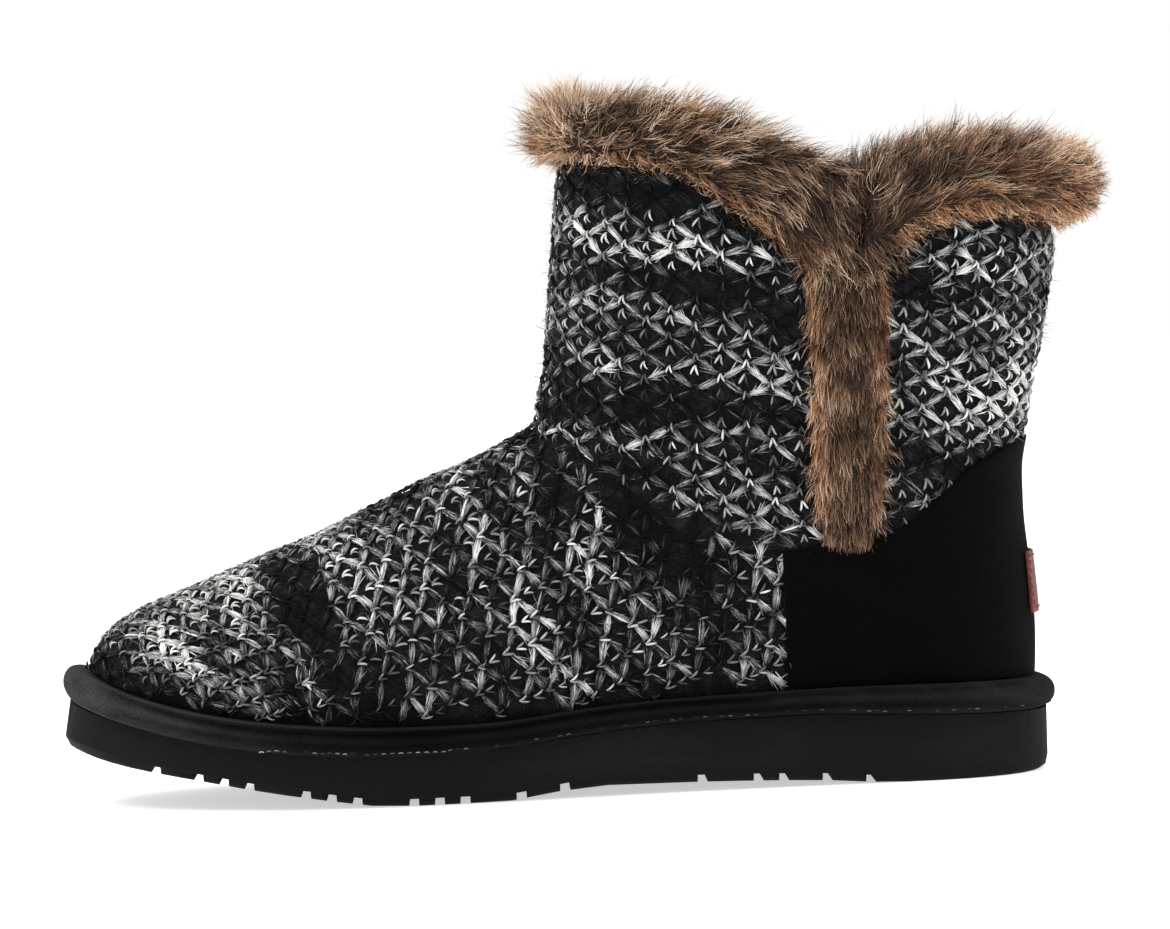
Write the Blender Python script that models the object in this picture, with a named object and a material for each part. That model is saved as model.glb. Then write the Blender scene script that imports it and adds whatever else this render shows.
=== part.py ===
# Ankle-high winter boot for the left foot: knitted hollow upper with a suede heel counter,
# fur rolls round the collar, a fur strip down each side seam, a suede-wrapped rand and a lugged outsole.
# Units are metres. The floor is z = 0, the toe points to -X, the outer (lateral) side faces -Y,
# and the origin is under the middle of the heel seat.

import math
import random
from collections import namedtuple

import bmesh
import bpy
import numpy as np

# Sole
OUTSOLE_LENGTH = 0.272
BALL_WIDTH = 0.099
HEEL_WIDTH = 0.075
HEEL_BACK = 0.036  # from the origin to the back of the outsole
TOE_SPRING = 0.0185  # rise of the outsole's underside at the toe tip
HEEL_STACK = 0.0195  # height of the outsole's wall at the heel
RAND_HEIGHT = 0.0065  # height of the rand at the heel
TOE_ROUND = 0.064  # length over which the toe's outline rounds off
HEEL_ROUND = 0.038  # the same at the heel
EDGE_ROUND = 0.0038  # size of the outsole's rounded lower edge
RAND_BULGE = 0.0021  # how far the rand swells past the outsole's wall
INSOLE_THICKNESS = 0.0045
FIT_GAP = 0.0003  # clearance between pieces that touch

# Tread
LUG_DEPTH = 0.0021
WIDE_LUG = 0.0125
MIDDLE_LUG = 0.0091
NARROW_LUG = 0.0042
LUG_GAP = 0.0027
LUG_SWEEP = 0.0006  # how far a groove trails behind its middle by the heel's half width
FOREFOOT_START = HEEL_BACK - 0.495 * OUTSOLE_LENGTH  # the rearmost groove of the forefoot
HEEL_START = HEEL_BACK - 0.19 * OUTSOLE_LENGTH  # the rearmost groove of the heel
FOREFOOT_LUGS = (MIDDLE_LUG, *3 * (WIDE_LUG, NARROW_LUG, NARROW_LUG), MIDDLE_LUG)
HEEL_LUGS = (MIDDLE_LUG, MIDDLE_LUG, NARROW_LUG, WIDE_LUG)

# Upper
INSTEP_HEIGHT = 0.099  # floor to the bend in front of the ankle
COLLAR_HEIGHT = 0.181  # floor to the knit's top edge in front
SHAFT_DEPTH = 0.134  # front to back at the collar
SHAFT_WIDTH = 0.092
SHAFT_CENTRE = -0.024  # the collar's middle along X
UPPER_WALL = 0.003  # knit with its lining
FEATHER_INSET = 0.0052  # upper's lower edge, inside the outsole's outline
FEATHER_TOE_INSET = 0.0080
SIDE_SWELL = 0.0026  # swell of the upper's sides over its lower edge
DOME_SLOPE = 0.9  # slope at which the vamp's dome goes on inside the shaft
SEAM_STEP = 0.0011  # the shaft's knit stands this far over the vamp's

# Heel counter and patch
COUNTER_THICKNESS = 0.0014
COUNTER_REACH = 0.0365  # from the origin to the counter's front edge
COUNTER_HEIGHT = 0.0920
PATCH_WIDTH = 0.030
PATCH_HEIGHT = 0.0165
PATCH_CENTRE = 0.0515  # height above the floor
PATCH_THICKNESS = 0.0009

# Fur
FUR_OUT = 0.0080  # how far the collar's fur stands out from the knit in front
FUR_UP = 0.0085  # how far it stands over the knit's edge
FUR_DOWN = 0.0100  # how far it hangs outside in front
FUR_IN = 0.0035  # how far it stands in past the lining
FUR_TUCK = 0.0040  # how far it hangs inside
FUR_LOCK = 0.0032  # length of a lock over the fur's body
STRIP_WIDTH = 0.0195
STRIP_LOFT = 0.0050
STRIP_FOOT = 0.0665  # height of the strip's lower end
STRIP_PLACE = -0.0185  # the strip's middle along X at its lower end
STRIP_LEAN = 0.0020  # how far the strip's middle shifts by its upper end
NOTCH = 0.585  # place of the collar's notch, a share of the depth from the front

AROUND = 64  # points round the sole and the upper
LATERAL, MEDIAL = -1, 1

# Rows from the heel to the toe. Heights are shares of TOE_SPRING, HEEL_STACK and RAND_HEIGHT.
# lateral and medial go from 0, the heel's half width, to 1, the ball's. swing is a share of BALL_WIDTH.
SoleRow = namedtuple("SoleRow", "along spring wall rand lateral medial swing")
SOLE_ROWS = (
    SoleRow(0.000, 0.00, 0.87, 1.32, 0.00, 0.00, 0.000),
    SoleRow(0.160, 0.00, 0.945, 1.17, 0.00, 0.00, 0.000),
    SoleRow(0.240, 0.08, 1.00, 1.00, 0.10, -0.08, 0.000),
    SoleRow(0.360, 0.14, 0.98, 0.94, 0.30, -0.28, 0.000),
    SoleRow(0.460, 0.16, 0.89, 1.00, 0.58, -0.20, 0.002),
    SoleRow(0.560, 0.00, 0.74, 1.02, 0.88, 0.35, 0.004),
    SoleRow(0.655, 0.00, 0.69, 1.16, 1.03, 0.92, 0.006),
    SoleRow(0.760, 0.20, 0.78, 1.16, 0.96, 1.00, 0.012),
    SoleRow(0.850, 0.44, 0.96, 1.17, 0.72, 0.82, 0.022),
    SoleRow(0.930, 0.65, 1.22, 1.27, 0.50, 0.58, 0.032),
    SoleRow(1.000, 0.90, 1.54, 1.66, 0.40, 0.40, 0.036),
)

# Rings of a sole piece, from its lower face up: share of its height, then how far the ring
# is drawn in at the sides, heel and toe, as shares of EDGE_ROUND or RAND_BULGE.
Ring = namedtuple("Ring", "rise sides heel toe")
OUTSOLE_RINGS = (
    Ring(0.00, 1.00, 0.75, 1.10),
    Ring(0.07, 0.36, 0.28, 0.34),
    Ring(0.24, 0.10, 0.10, 0.00),
    Ring(1.00, 0.00, 0.05, 0.45),
)
RAND_RINGS = (
    Ring(0.00, 0.80, 0.80, 1.60),
    Ring(0.14, -0.50, -0.50, 0.45),
    Ring(0.42, -1.00, -1.00, 0.05),
    Ring(0.72, -0.70, -0.75, 0.55),
    Ring(0.93, 0.35, 0.30, 1.60),
    Ring(1.00, 1.65, 1.60, 2.90),
)

# The top line of the vamp, from the toe to the bend: shares of OUTSOLE_LENGTH and INSTEP_HEIGHT.
RidgeRow = namedtuple("RidgeRow", "along height")
RIDGE_ROWS = (
    RidgeRow(0.952, 0.458),
    RidgeRow(0.923, 0.521),
    RidgeRow(0.882, 0.568),
    RidgeRow(0.834, 0.616),
    RidgeRow(0.783, 0.670),
    RidgeRow(0.732, 0.721),
    RidgeRow(0.680, 0.784),
    RidgeRow(0.636, 0.840),
    RidgeRow(0.596, 0.888),
    RidgeRow(0.555, 0.930),
    RidgeRow(0.526, 0.962),
)

# The back of the heel: shares of INSTEP_HEIGHT and of HEEL_BACK.
HeelRow = namedtuple("HeelRow", "height reach")
HEEL_ROWS = (
    HeelRow(0.33, 0.868),
    HeelRow(0.42, 0.873),
    HeelRow(0.56, 0.852),
    HeelRow(0.72, 0.818),
    HeelRow(0.83, 0.818),
    HeelRow(0.91, 0.858),
)

# The shaft, from the bend to the collar: rise from INSTEP_HEIGHT to COLLAR_HEIGHT,
# front and back from SHAFT_CENTRE as shares of SHAFT_DEPTH, side as a share of SHAFT_WIDTH.
ShaftRow = namedtuple("ShaftRow", "rise front back side")
SHAFT_ROWS = (
    ShaftRow(0.00, 0.594, 0.420, 0.440),
    ShaftRow(0.08, 0.566, 0.430, 0.445),
    ShaftRow(0.22, 0.549, 0.450, 0.455),
    ShaftRow(0.40, 0.538, 0.474, 0.470),
    ShaftRow(0.62, 0.522, 0.493, 0.485),
    ShaftRow(0.85, 0.506, 0.500, 0.496),
    ShaftRow(1.00, 0.500, 0.500, 0.500),
)

# The knit's top edge, the same on both sides: share of the depth from the front, share of COLLAR_HEIGHT.
CollarRow = namedtuple("CollarRow", "across height")
COLLAR_ROWS = (
    CollarRow(0.00, 1.000),
    CollarRow(0.16, 0.992),
    CollarRow(0.30, 0.968),
    CollarRow(0.41, 0.932),
    CollarRow(0.51, 0.896),
    CollarRow(NOTCH, 0.884),
    CollarRow(0.65, 0.896),
    CollarRow(0.74, 0.912),
    CollarRow(0.84, 0.914),
    CollarRow(1.00, 0.892),
)

# The counter's top edge: share from its front corner to the heel's back, share of COUNTER_HEIGHT.
CounterRow = namedtuple("CounterRow", "across height")
COUNTER_ROWS = (
    CounterRow(0.00, 0.700),
    CounterRow(0.24, 0.716),
    CounterRow(0.33, 0.760),
    CounterRow(0.43, 0.832),
    CounterRow(0.60, 0.932),
    CounterRow(0.78, 0.982),
    CounterRow(1.00, 1.000),
)

# The seam where the shaft's knit meets the vamp's: share from the bend back to the counter's front edge,
# height as a share of INSTEP_HEIGHT.
SeamRow = namedtuple("SeamRow", "across height")
SEAM_ROWS = (
    SeamRow(0.00, 0.990),
    SeamRow(0.28, 0.870),
    SeamRow(0.60, 0.740),
    SeamRow(1.00, 0.640),
)

# The collar's fur: share of the depth from the front, then shares of FUR_OUT, FUR_UP and FUR_DOWN.
FurRow = namedtuple("FurRow", "across out up down")
FUR_ROWS = (
    FurRow(0.00, 1.00, 1.00, 1.00),
    FurRow(0.20, 1.00, 1.00, 1.15),
    FurRow(0.33, 1.00, 1.00, 1.65),
    FurRow(0.46, 1.00, 0.95, 2.10),
    FurRow(0.64, 1.05, 0.95, 1.95),
    FurRow(0.76, 1.20, 1.05, 1.45),
    FurRow(1.00, 1.55, 1.05, 1.35),
)

# Section of the collar's fur, from its lower edge outside, over the top, to its lower edge inside:
# shares of FUR_OUT or FUR_IN, and of FUR_UP, FUR_DOWN or FUR_TUCK.
FurPoint = namedtuple("FurPoint", "out up")
FUR_SECTION = (
    FurPoint(0.16, -1.00),
    FurPoint(0.68, -0.90),
    FurPoint(1.00, -0.48),
    FurPoint(1.02, 0.10),
    FurPoint(0.76, 0.68),
    FurPoint(0.24, 0.98),
    FurPoint(-0.35, 0.92),
    FurPoint(-0.90, 0.50),
    FurPoint(-0.95, -0.40),
    FurPoint(-0.25, -1.00),
)

# Levels of the upper's rings, shares of the way from its lower edge to its top edge.
UPPER_LEVELS = (
    0, 0.03, 0.07, 0.12, 0.17, 0.22, 0.27, 0.32, 0.37, 0.415, 0.455, 0.50, 0.57, 0.65, 0.74, 0.83, 0.92, 1,
)


class Line:
    """A smooth line through a table's rows that never overshoots between two of them."""

    def __init__(self, at, values):
        self.at, self.values = np.array(at, float), np.array(values, float)
        steps = np.diff(self.at)
        slopes = np.diff(self.values) / steps
        self.steps = steps
        self.tangents = np.concatenate([slopes[:1], np.zeros(len(steps) - 1), slopes[-1:]])
        for i in range(1, len(steps)):
            if slopes[i - 1] * slopes[i] > 0:
                self.tangents[i] = 2 * slopes[i - 1] * slopes[i] / (slopes[i - 1] + slopes[i])

    def __call__(self, at):
        at = min(max(at, self.at[0]), self.at[-1])
        i = min(max(int(np.searchsorted(self.at, at)) - 1, 0), len(self.steps) - 1)
        t = (at - self.at[i]) / self.steps[i]
        return float(
            (1 + 2 * t) * (1 - t) ** 2 * self.values[i]
            + t * (1 - t) ** 2 * self.steps[i] * self.tangents[i]
            + t * t * (3 - 2 * t) * self.values[i + 1]
            + t * t * (t - 1) * self.steps[i] * self.tangents[i + 1]
        )


def line_of(rows, column, at="along"):
    return Line([getattr(row, at) for row in rows], [getattr(row, column) for row in rows])


SPRING, WALL, RAND = (line_of(SOLE_ROWS, name) for name in ("spring", "wall", "rand"))
SPREAD = {LATERAL: line_of(SOLE_ROWS, "lateral"), MEDIAL: line_of(SOLE_ROWS, "medial")}
SWING = line_of(SOLE_ROWS, "swing")


def share_along(x):
    """Share of the sole's length from its back to x."""
    return (HEEL_BACK - x) / OUTSOLE_LENGTH


def underside(x):
    return SPRING(share_along(x)) * TOE_SPRING


def wall_top(x):
    return WALL(share_along(x)) * HEEL_STACK


def rand_foot(x):
    return wall_top(x) + FIT_GAP


def rand_top(x):
    return rand_foot(x) + RAND(share_along(x)) * RAND_HEIGHT


def half_width(x, side):
    """The outsole's half width at x, before its ends are rounded."""
    heel, ball = HEEL_WIDTH / 2, BALL_WIDTH / 2
    return heel + (ball - heel) * SPREAD[side](share_along(x))


def centre_line(x):
    return SWING(share_along(x)) * BALL_WIDTH


def rounding(distance, length, power=2.2):
    """Goes from 0 at an end to 1 at length from it, as a rounded end does."""
    left = 1 - min(max(distance / length, 0), 1)
    return (1 - left**power) ** (1 / power)


def side_of(turn):
    return LATERAL if turn <= 0.5 else MEDIAL


def between(low, high, share):
    return low + (high - low) * share


def bunched(turn):
    """Share of the way from front to back at a turn of 0 to 1, with points bunched at both ends."""
    return (1 - math.cos(2 * math.pi * turn)) / 2


def outline(turn, sides, heel, toe):
    """Point of the sole's outline in plan, drawn in at its sides, heel and toe. Turn 0 is the toe."""
    front = HEEL_BACK - OUTSOLE_LENGTH + toe
    back = HEEL_BACK - heel
    x = between(front, back, bunched(turn))
    half = half_width(x, side_of(turn)) - sides
    half *= rounding(x - front, TOE_ROUND - toe) * rounding(back - x, HEEL_ROUND - heel)
    return x, centre_line(x) + side_of(turn) * half


def sole_ring(ring, unit, low, high, count=AROUND):
    """One ring of points round the sole, between the heights that low and high give at each x."""
    points = []
    for i in range(count):
        x, y = outline(i / count, ring.sides * unit, ring.heel * unit, ring.toe * unit)
        points.append((x, y, between(low(x), high(x), ring.rise)))
    return points


# The upper's side view: how far it reaches to the front and to the back at each height.
FEATHER_TIP = HEEL_BACK - OUTSOLE_LENGTH + FEATHER_TOE_INSET
FEATHER_BACK = HEEL_BACK - FEATHER_INSET


def shaft_height(rise):
    return between(INSTEP_HEIGHT, COLLAR_HEIGHT, rise)


def feather(x):
    """Height of the upper's lower edge."""
    return rand_top(x) + FIT_GAP


FRONT = Line(
    [feather(FEATHER_TIP)]
    + [row.height * INSTEP_HEIGHT for row in RIDGE_ROWS]
    + [shaft_height(row.rise) for row in SHAFT_ROWS],
    [FEATHER_TIP]
    + [HEEL_BACK - row.along * OUTSOLE_LENGTH for row in RIDGE_ROWS]
    + [SHAFT_CENTRE - row.front * SHAFT_DEPTH for row in SHAFT_ROWS],
)
BACK = Line(
    [feather(FEATHER_BACK)]
    + [row.height * INSTEP_HEIGHT for row in HEEL_ROWS]
    + [shaft_height(row.rise) for row in SHAFT_ROWS],
    [FEATHER_BACK]
    + [row.reach * HEEL_BACK for row in HEEL_ROWS]
    + [SHAFT_CENTRE + row.back * SHAFT_DEPTH for row in SHAFT_ROWS],
)
SIDE = Line(
    [shaft_height(row.rise) for row in SHAFT_ROWS], [row.side * SHAFT_WIDTH for row in SHAFT_ROWS]
)
BEND_HEIGHT = RIDGE_ROWS[-1].height * INSTEP_HEIGHT
RIDGE_HEIGHTS = np.linspace(feather(FEATHER_TIP), BEND_HEIGHT, 200)
RIDGE_PLACES = np.array([FRONT(height) for height in RIDGE_HEIGHTS])
FUR_SIZES = [line_of(FUR_ROWS, name, "across") for name in ("out", "up", "down")]
COLLAR = line_of(COLLAR_ROWS, "height", "across")
COUNTER = line_of(COUNTER_ROWS, "height", "across")
SEAM = line_of(SEAM_ROWS, "height", "across")
BEND = SHAFT_CENTRE - SHAFT_ROWS[0].front * SHAFT_DEPTH


def ridge(x):
    """Height of the vamp's top line over x, which climbs on at one slope behind the bend."""
    climb = DOME_SLOPE * max(x - RIDGE_PLACES[-1], 0)
    return float(np.interp(x, RIDGE_PLACES, RIDGE_HEIGHTS)) + climb


def smooth_share(value, low, high):
    share = min(max((value - low) / (high - low), 0), 1)
    return share * share * (3 - 2 * share)


def collar_height(x):
    across = (x - SHAFT_CENTRE) / SHAFT_DEPTH + 0.5
    return COLLAR(across) * COLLAR_HEIGHT


def seam_height(x):
    return SEAM((x - BEND) / (-COUNTER_REACH - BEND)) * INSTEP_HEIGHT


def upper_half_width(x, z, side):
    """Half width of the upper at x and height z: the foot's dome below, the shaft's oval above."""
    front, back = FRONT(z), BACK(z)
    low = feather(x)
    lift = min(max((z - low) / max(ridge(x) - low, 1e-6), 0), 1)
    dome = math.sqrt(max(1 - lift**1.9, 0))
    swell = SIDE_SWELL * math.sin(math.pi * min(lift / 0.55, 1))
    foot = (half_width(x, side) - FEATHER_INSET + swell) * dome
    foot *= rounding(x - FEATHER_TIP, TOE_ROUND - FEATHER_TOE_INSET)
    foot *= rounding(back - x, HEEL_ROUND - FEATHER_INSET)
    across = 2 * (x - front) / (back - front) - 1
    oval = SIDE(z) * max(1 - abs(across) ** 2.25, 0) ** (1 / 2.25)
    shaft = smooth_share(z, 0.55 * INSTEP_HEIGHT, 1.15 * INSTEP_HEIGHT)
    over = SEAM_STEP * smooth_share(z, seam_height(x) - 0.003, seam_height(x) + 0.003)
    over *= rounding(x - front, SHAFT_DEPTH / 5) * rounding(back - x, SHAFT_DEPTH / 2)
    return between(foot, oval, shaft) + over


def upper_point(x, z, side):
    shaft = smooth_share(z, 0.55 * INSTEP_HEIGHT, 1.15 * INSTEP_HEIGHT)
    return np.array([x, centre_line(x) * (1 - shaft) + side * upper_half_width(x, z, side), z])


def upper_at(turn, z):
    """Point of the upper's outer face at a turn of 0, the front, to 1, and at height z."""
    x = between(FRONT(z), BACK(z), bunched(turn))
    return upper_point(x, z, side_of(turn))


def edges_at(turn):
    """Heights of the upper's lower and top edges at a turn."""
    x, _ = outline(turn, FEATHER_INSET, FEATHER_INSET, FEATHER_TOE_INSET)
    low = feather(x)
    high = COLLAR_HEIGHT
    for _ in range(6):
        high = collar_height(upper_at(turn, high)[0])
    return low, high


def turn_at(x, z, side):
    """The turn at which the upper's outer face passes x at height z."""
    front, back = FRONT(z), BACK(z)
    turn = math.acos(1 - 2 * min(max((x - front) / (back - front), 0), 1)) / (2 * math.pi)
    return turn if side == LATERAL else 1 - turn


def surface(turn, z):
    """Point of the upper's outer face, and the way it faces there."""
    around = upper_at((turn + 0.004) % 1, z) - upper_at((turn - 0.004) % 1, z)
    up = upper_at(turn, z + 0.001) - upper_at(turn, z - 0.001)
    normal = np.cross(around, up)
    return upper_at(turn, z), normal / np.linalg.norm(normal)


def level_offset(normal, distance):
    """A level step that goes this distance off a face."""
    flat = normal * (1, 1, 0)
    return flat * distance / max(float(flat @ flat), 0.16)


def loft(bm, rings, wraps=True, closes=False):
    """Quads between neighbouring rings. With closes, the last ring also joins the first."""
    rows = [[bm.verts.new(point) for point in ring] for ring in rings]
    pairs = list(zip(rows, rows[1:])) + ([(rows[-1], rows[0])] if closes else [])
    faces = []
    for low, high in pairs:
        strip = []
        for i in range(len(low) if wraps else len(low) - 1):
            j = (i + 1) % len(low)
            strip.append(bm.faces.new((low[i], low[j], high[j], high[i])))
        faces.append(strip)
    return rows, faces


def close_across(bm, ring, shift=0):
    """Closes a ring with faces from each point to its partner: point i and point -i - shift."""
    for i in range(len(ring) // 2 - shift):
        corners = (ring[i], ring[i + 1], ring[-i - 1 - shift], ring[-i - shift])
        bm.faces.new(dict.fromkeys(corners))


def make_material(name, colour, roughness):
    material = bpy.data.materials.new(name)
    material.use_nodes = True
    shader = material.node_tree.nodes["Principled BSDF"]
    shader.inputs["Base Color"].default_value = (*colour, 1)
    shader.inputs["Roughness"].default_value = roughness
    material.diffuse_color = (*colour, 1)
    return material


def make_object(name, bm, material, sharp_degrees=40):
    bmesh.ops.recalc_face_normals(bm, faces=bm.faces)
    mesh = bpy.data.meshes.new(name)
    bm.to_mesh(mesh)
    bm.free()
    mesh.shade_smooth()
    mesh.set_sharp_from_angle(angle=math.radians(sharp_degrees))
    mesh.materials.append(material)
    piece = bpy.data.objects.new(name, mesh)
    bpy.context.scene.collection.objects.link(piece)
    return piece


def groove_places():
    """Middles of the tread's grooves along X: forefoot first, then the heel's front."""
    places = []
    for start, lugs in ((FOREFOOT_START, FOREFOOT_LUGS), (HEEL_START, HEEL_LUGS)):
        x = start
        places.append(x)
        for lug in lugs:
            x -= LUG_GAP + lug
            places.append(x)
    return places


def groove_cutter():
    """One hidden object with a chevron bar for every groove."""
    bm = bmesh.new()
    reach = 0.8 * BALL_WIDTH
    trail = LUG_SWEEP * reach / (HEEL_WIDTH / 2)
    for middle in groove_places():
        rings = []
        for x, y in ((middle + trail, -reach), (middle, 0), (middle + trail, reach)):
            front, back = x - LUG_GAP / 2, x + LUG_GAP / 2
            rings.append([
                (front, y, -HEEL_STACK),
                (back, y, -HEEL_STACK),
                (back, y, underside(back) + LUG_DEPTH),
                (front, y, underside(front) + LUG_DEPTH),
            ])
        rows, _ = loft(bm, rings)
        bm.faces.new(rows[0])
        bm.faces.new(rows[-1])
    cutter = make_object("tread_cutter", bm, make_material("cutter", (1, 0, 0), 1))
    cutter.hide_render = True
    cutter.display_type = "WIRE"
    return cutter


def make_sole_piece(name, rings, unit, low, high, material):
    """A plate with the sole's outline, between the heights that low and high give."""
    bm = bmesh.new()
    rows, _ = loft(bm, [sole_ring(ring, unit, low, high) for ring in rings])
    close_across(bm, rows[0])
    close_across(bm, rows[-1])
    return make_object(name, bm, material)


def make_outsole(material):
    outsole = make_sole_piece("outsole", OUTSOLE_RINGS, EDGE_ROUND, underside, wall_top, material)
    tread = outsole.modifiers.new("tread", "BOOLEAN")
    tread.operation = "DIFFERENCE"
    tread.solver = "EXACT"
    tread.object = groove_cutter()
    return outsole


def make_insole(material):
    inset = FEATHER_INSET + UPPER_WALL + 3 * FIT_GAP
    toe = FEATHER_TOE_INSET + 2 * UPPER_WALL + INSOLE_THICKNESS
    slope = 0.15 * INSOLE_THICKNESS
    rings = []
    for rise, extra in ((0, 0), (0.75, slope), (1, 2 * slope)):
        rings.append(Ring(rise, inset + extra, inset + extra, toe + extra))

    def high(x):
        return feather(x) + INSOLE_THICKNESS

    return make_sole_piece("insole", rings, 1, feather, high, material)


def make_upper(material):
    outer = []
    for level in UPPER_LEVELS:
        ring = []
        for i in range(AROUND):
            low, high = edges_at(i / AROUND)
            ring.append(upper_at(i / AROUND, between(low, high, level)))
        outer.append(ring)
    outer = np.array(outer)
    around = np.roll(outer, -1, axis=1) - np.roll(outer, 1, axis=1)
    normals = np.cross(around, np.gradient(outer, axis=0))
    normals /= np.linalg.norm(normals, axis=2, keepdims=True)
    inner = outer - normals * UPPER_WALL
    for edge in (0, -1):
        for i, normal in enumerate(normals[edge]):
            inner[edge][i] = outer[edge][i] - level_offset(normal, UPPER_WALL)
    bm = bmesh.new()
    loft(bm, [*outer, *inner[::-1]], closes=True)
    return make_object("upper", bm, material)


def cover(bm, grid, inner, outer):
    """A plate over a grid of the upper's points and normals, from inner to outer distance off it.

    Each row of the grid is a list of (point, normal); outer gives a distance for a row and a column.
    """
    rings = []
    for j, row in enumerate(grid):
        out = [point + normal * outer(j, k) for k, (point, normal) in enumerate(row)]
        into = [point + normal * inner for point, normal in row]
        rings.append([*out, *into[::-1]])
    rows, faces = loft(bm, rings)
    close_across(bm, rows[0], shift=1)
    close_across(bm, rows[-1], shift=1)
    return [face for strip in faces for face in strip[: len(grid[0]) - 1]]


def make_counter(material):
    columns, levels = 30, (0, 0.14, 0.32, 0.52, 0.66, 0.78, 0.89, 1)
    grid = []
    for level in levels:
        row = []
        for k in range(columns + 1):
            across = 1 - abs(2 * k / columns - 1)
            z = COUNTER(across) * COUNTER_HEIGHT
            for _ in range(5):
                start = turn_at(-COUNTER_REACH, z, LATERAL)
                turn = between(start, 1 - start, k / columns)
                low = feather(upper_at(turn, z)[0]) + FIT_GAP
                z = between(low, COUNTER(across) * COUNTER_HEIGHT, level)
            row.append(surface(turn, z))
        grid.append(row)
    bm = bmesh.new()
    cover(bm, grid, 2 * FIT_GAP, lambda j, k: 2 * FIT_GAP + COUNTER_THICKNESS)
    return make_object("heel_counter", bm, material)


def make_heel_patch(material):
    columns, rows = 10, 4
    spread = 0.0
    while abs(upper_at(0.5 - spread, PATCH_CENTRE)[1]) < 0.47 * PATCH_WIDTH:
        spread += 0.0005
    low, high = PATCH_CENTRE - PATCH_HEIGHT / 2, PATCH_CENTRE + PATCH_HEIGHT / 2
    grid = []
    for j in range(rows + 1):
        z = between(low, high, j / rows)
        grid.append([surface(0.5 + spread * (2 * k / columns - 1), z) for k in range(columns + 1)])
    start = COUNTER_THICKNESS + 3.2 * FIT_GAP
    bm = bmesh.new()
    cover(bm, grid, start, lambda j, k: start + PATCH_THICKNESS)
    return make_object("heel_patch", bm, material)


def raise_locks(bm, faces, chance, sweep):
    """Pulls every face out into a lock of fur, leant by sweep, each a little different."""
    bmesh.ops.recalc_face_normals(bm, faces=bm.faces)
    tips = bmesh.ops.poke(bm, faces=faces, offset=FUR_LOCK)["verts"]
    for tip in tips:
        for axis in range(3):
            tip.co[axis] += FUR_LOCK * (sweep[axis] + chance.uniform(-0.3, 0.3))


def collar_edge(turn):
    """Height of the collar's knit edge at a turn."""
    return edges_at(turn)[1]


def fur_section(turn):
    """Points round the collar's fur at a turn: over its body, then back through the slot for the knit."""
    edge = collar_edge(turn)
    x = upper_at(turn, edge)[0]
    out, up, down = (size((x - SHAFT_CENTRE) / SHAFT_DEPTH + 0.5) for size in FUR_SIZES)
    out, up, down = out * FUR_OUT, up * FUR_UP, down * FUR_DOWN

    def place(off, rise):
        point, normal = surface(turn, edge + min(rise, 0))
        point = point + level_offset(normal, off)
        return point + np.array([0, 0, max(rise, 0)])

    ring = []
    for step in FUR_SECTION:
        outside = step.out > 0
        off = step.out * out if outside else -UPPER_WALL + step.out * FUR_IN - 2 * FIT_GAP
        hang = down if outside else FUR_TUCK
        ring.append(place(off, step.up * (up if step.up > 0 else hang)))
    inside = -UPPER_WALL - 2.4 * FIT_GAP
    ring.append(place(inside, -0.96 * FUR_TUCK))
    ring.append(place(inside, 2 * FIT_GAP))
    ring.append(place(1.4 * FIT_GAP, 2 * FIT_GAP))
    ring.append(place(1.6 * FIT_GAP, -0.5 * down))
    ring.append(place(1.6 * FIT_GAP, -0.97 * down))
    return ring


def make_collar_fur(name, first, last, columns, material, chance):
    rings = [fur_section(between(first, last, k / columns) % 1) for k in range(columns + 1)]
    bm = bmesh.new()
    rows, faces = loft(bm, rings)
    bm.faces.new(rows[0])
    bm.faces.new(rows[-1])
    last_lock = len(FUR_SECTION) - 2
    locks = [face for strip in faces for face in strip[1:last_lock]]
    raise_locks(bm, locks, chance, (0, 0, 0.25))
    return make_object(name, bm, material)


def make_side_fur(name, side, material, chance):
    columns, rows = 4, 11
    grid = []
    for j in range(rows + 1):
        row = []
        for k in range(columns + 1):
            z = STRIP_FOOT
            for _ in range(3):
                share = min(max((z - STRIP_FOOT) / (COLLAR_HEIGHT - STRIP_FOOT), 0), 1)
                middle = STRIP_PLACE + STRIP_LEAN * (1 - (1 - share) ** 2)
                narrow = 0.72 + 0.28 * min(share / 0.12, 1) + 0.14 * share
                x = middle + STRIP_WIDTH * narrow * (k / columns - 0.5)
                down = FUR_SIZES[2]((x - SHAFT_CENTRE) / SHAFT_DEPTH + 0.5) * FUR_DOWN
                z = between(STRIP_FOOT, collar_height(x) - down - 0.0012, j / rows)
            row.append(surface(turn_at(x, z, side), z))
        grid.append(row)

    def loft_of(j, k):
        across = 1 - abs(2 * k / columns - 1) ** 3
        return 1.4 * FIT_GAP + STRIP_LOFT * (0.25 + 0.75 * across) * (0.45 if j in (0, rows) else 1)

    bm = bmesh.new()
    faces = cover(bm, grid, 1.4 * FIT_GAP, loft_of)
    locks = faces[:-columns]
    raise_locks(bm, locks, chance, (0, 0, -0.45))
    return make_object(name, bm, material)


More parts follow.
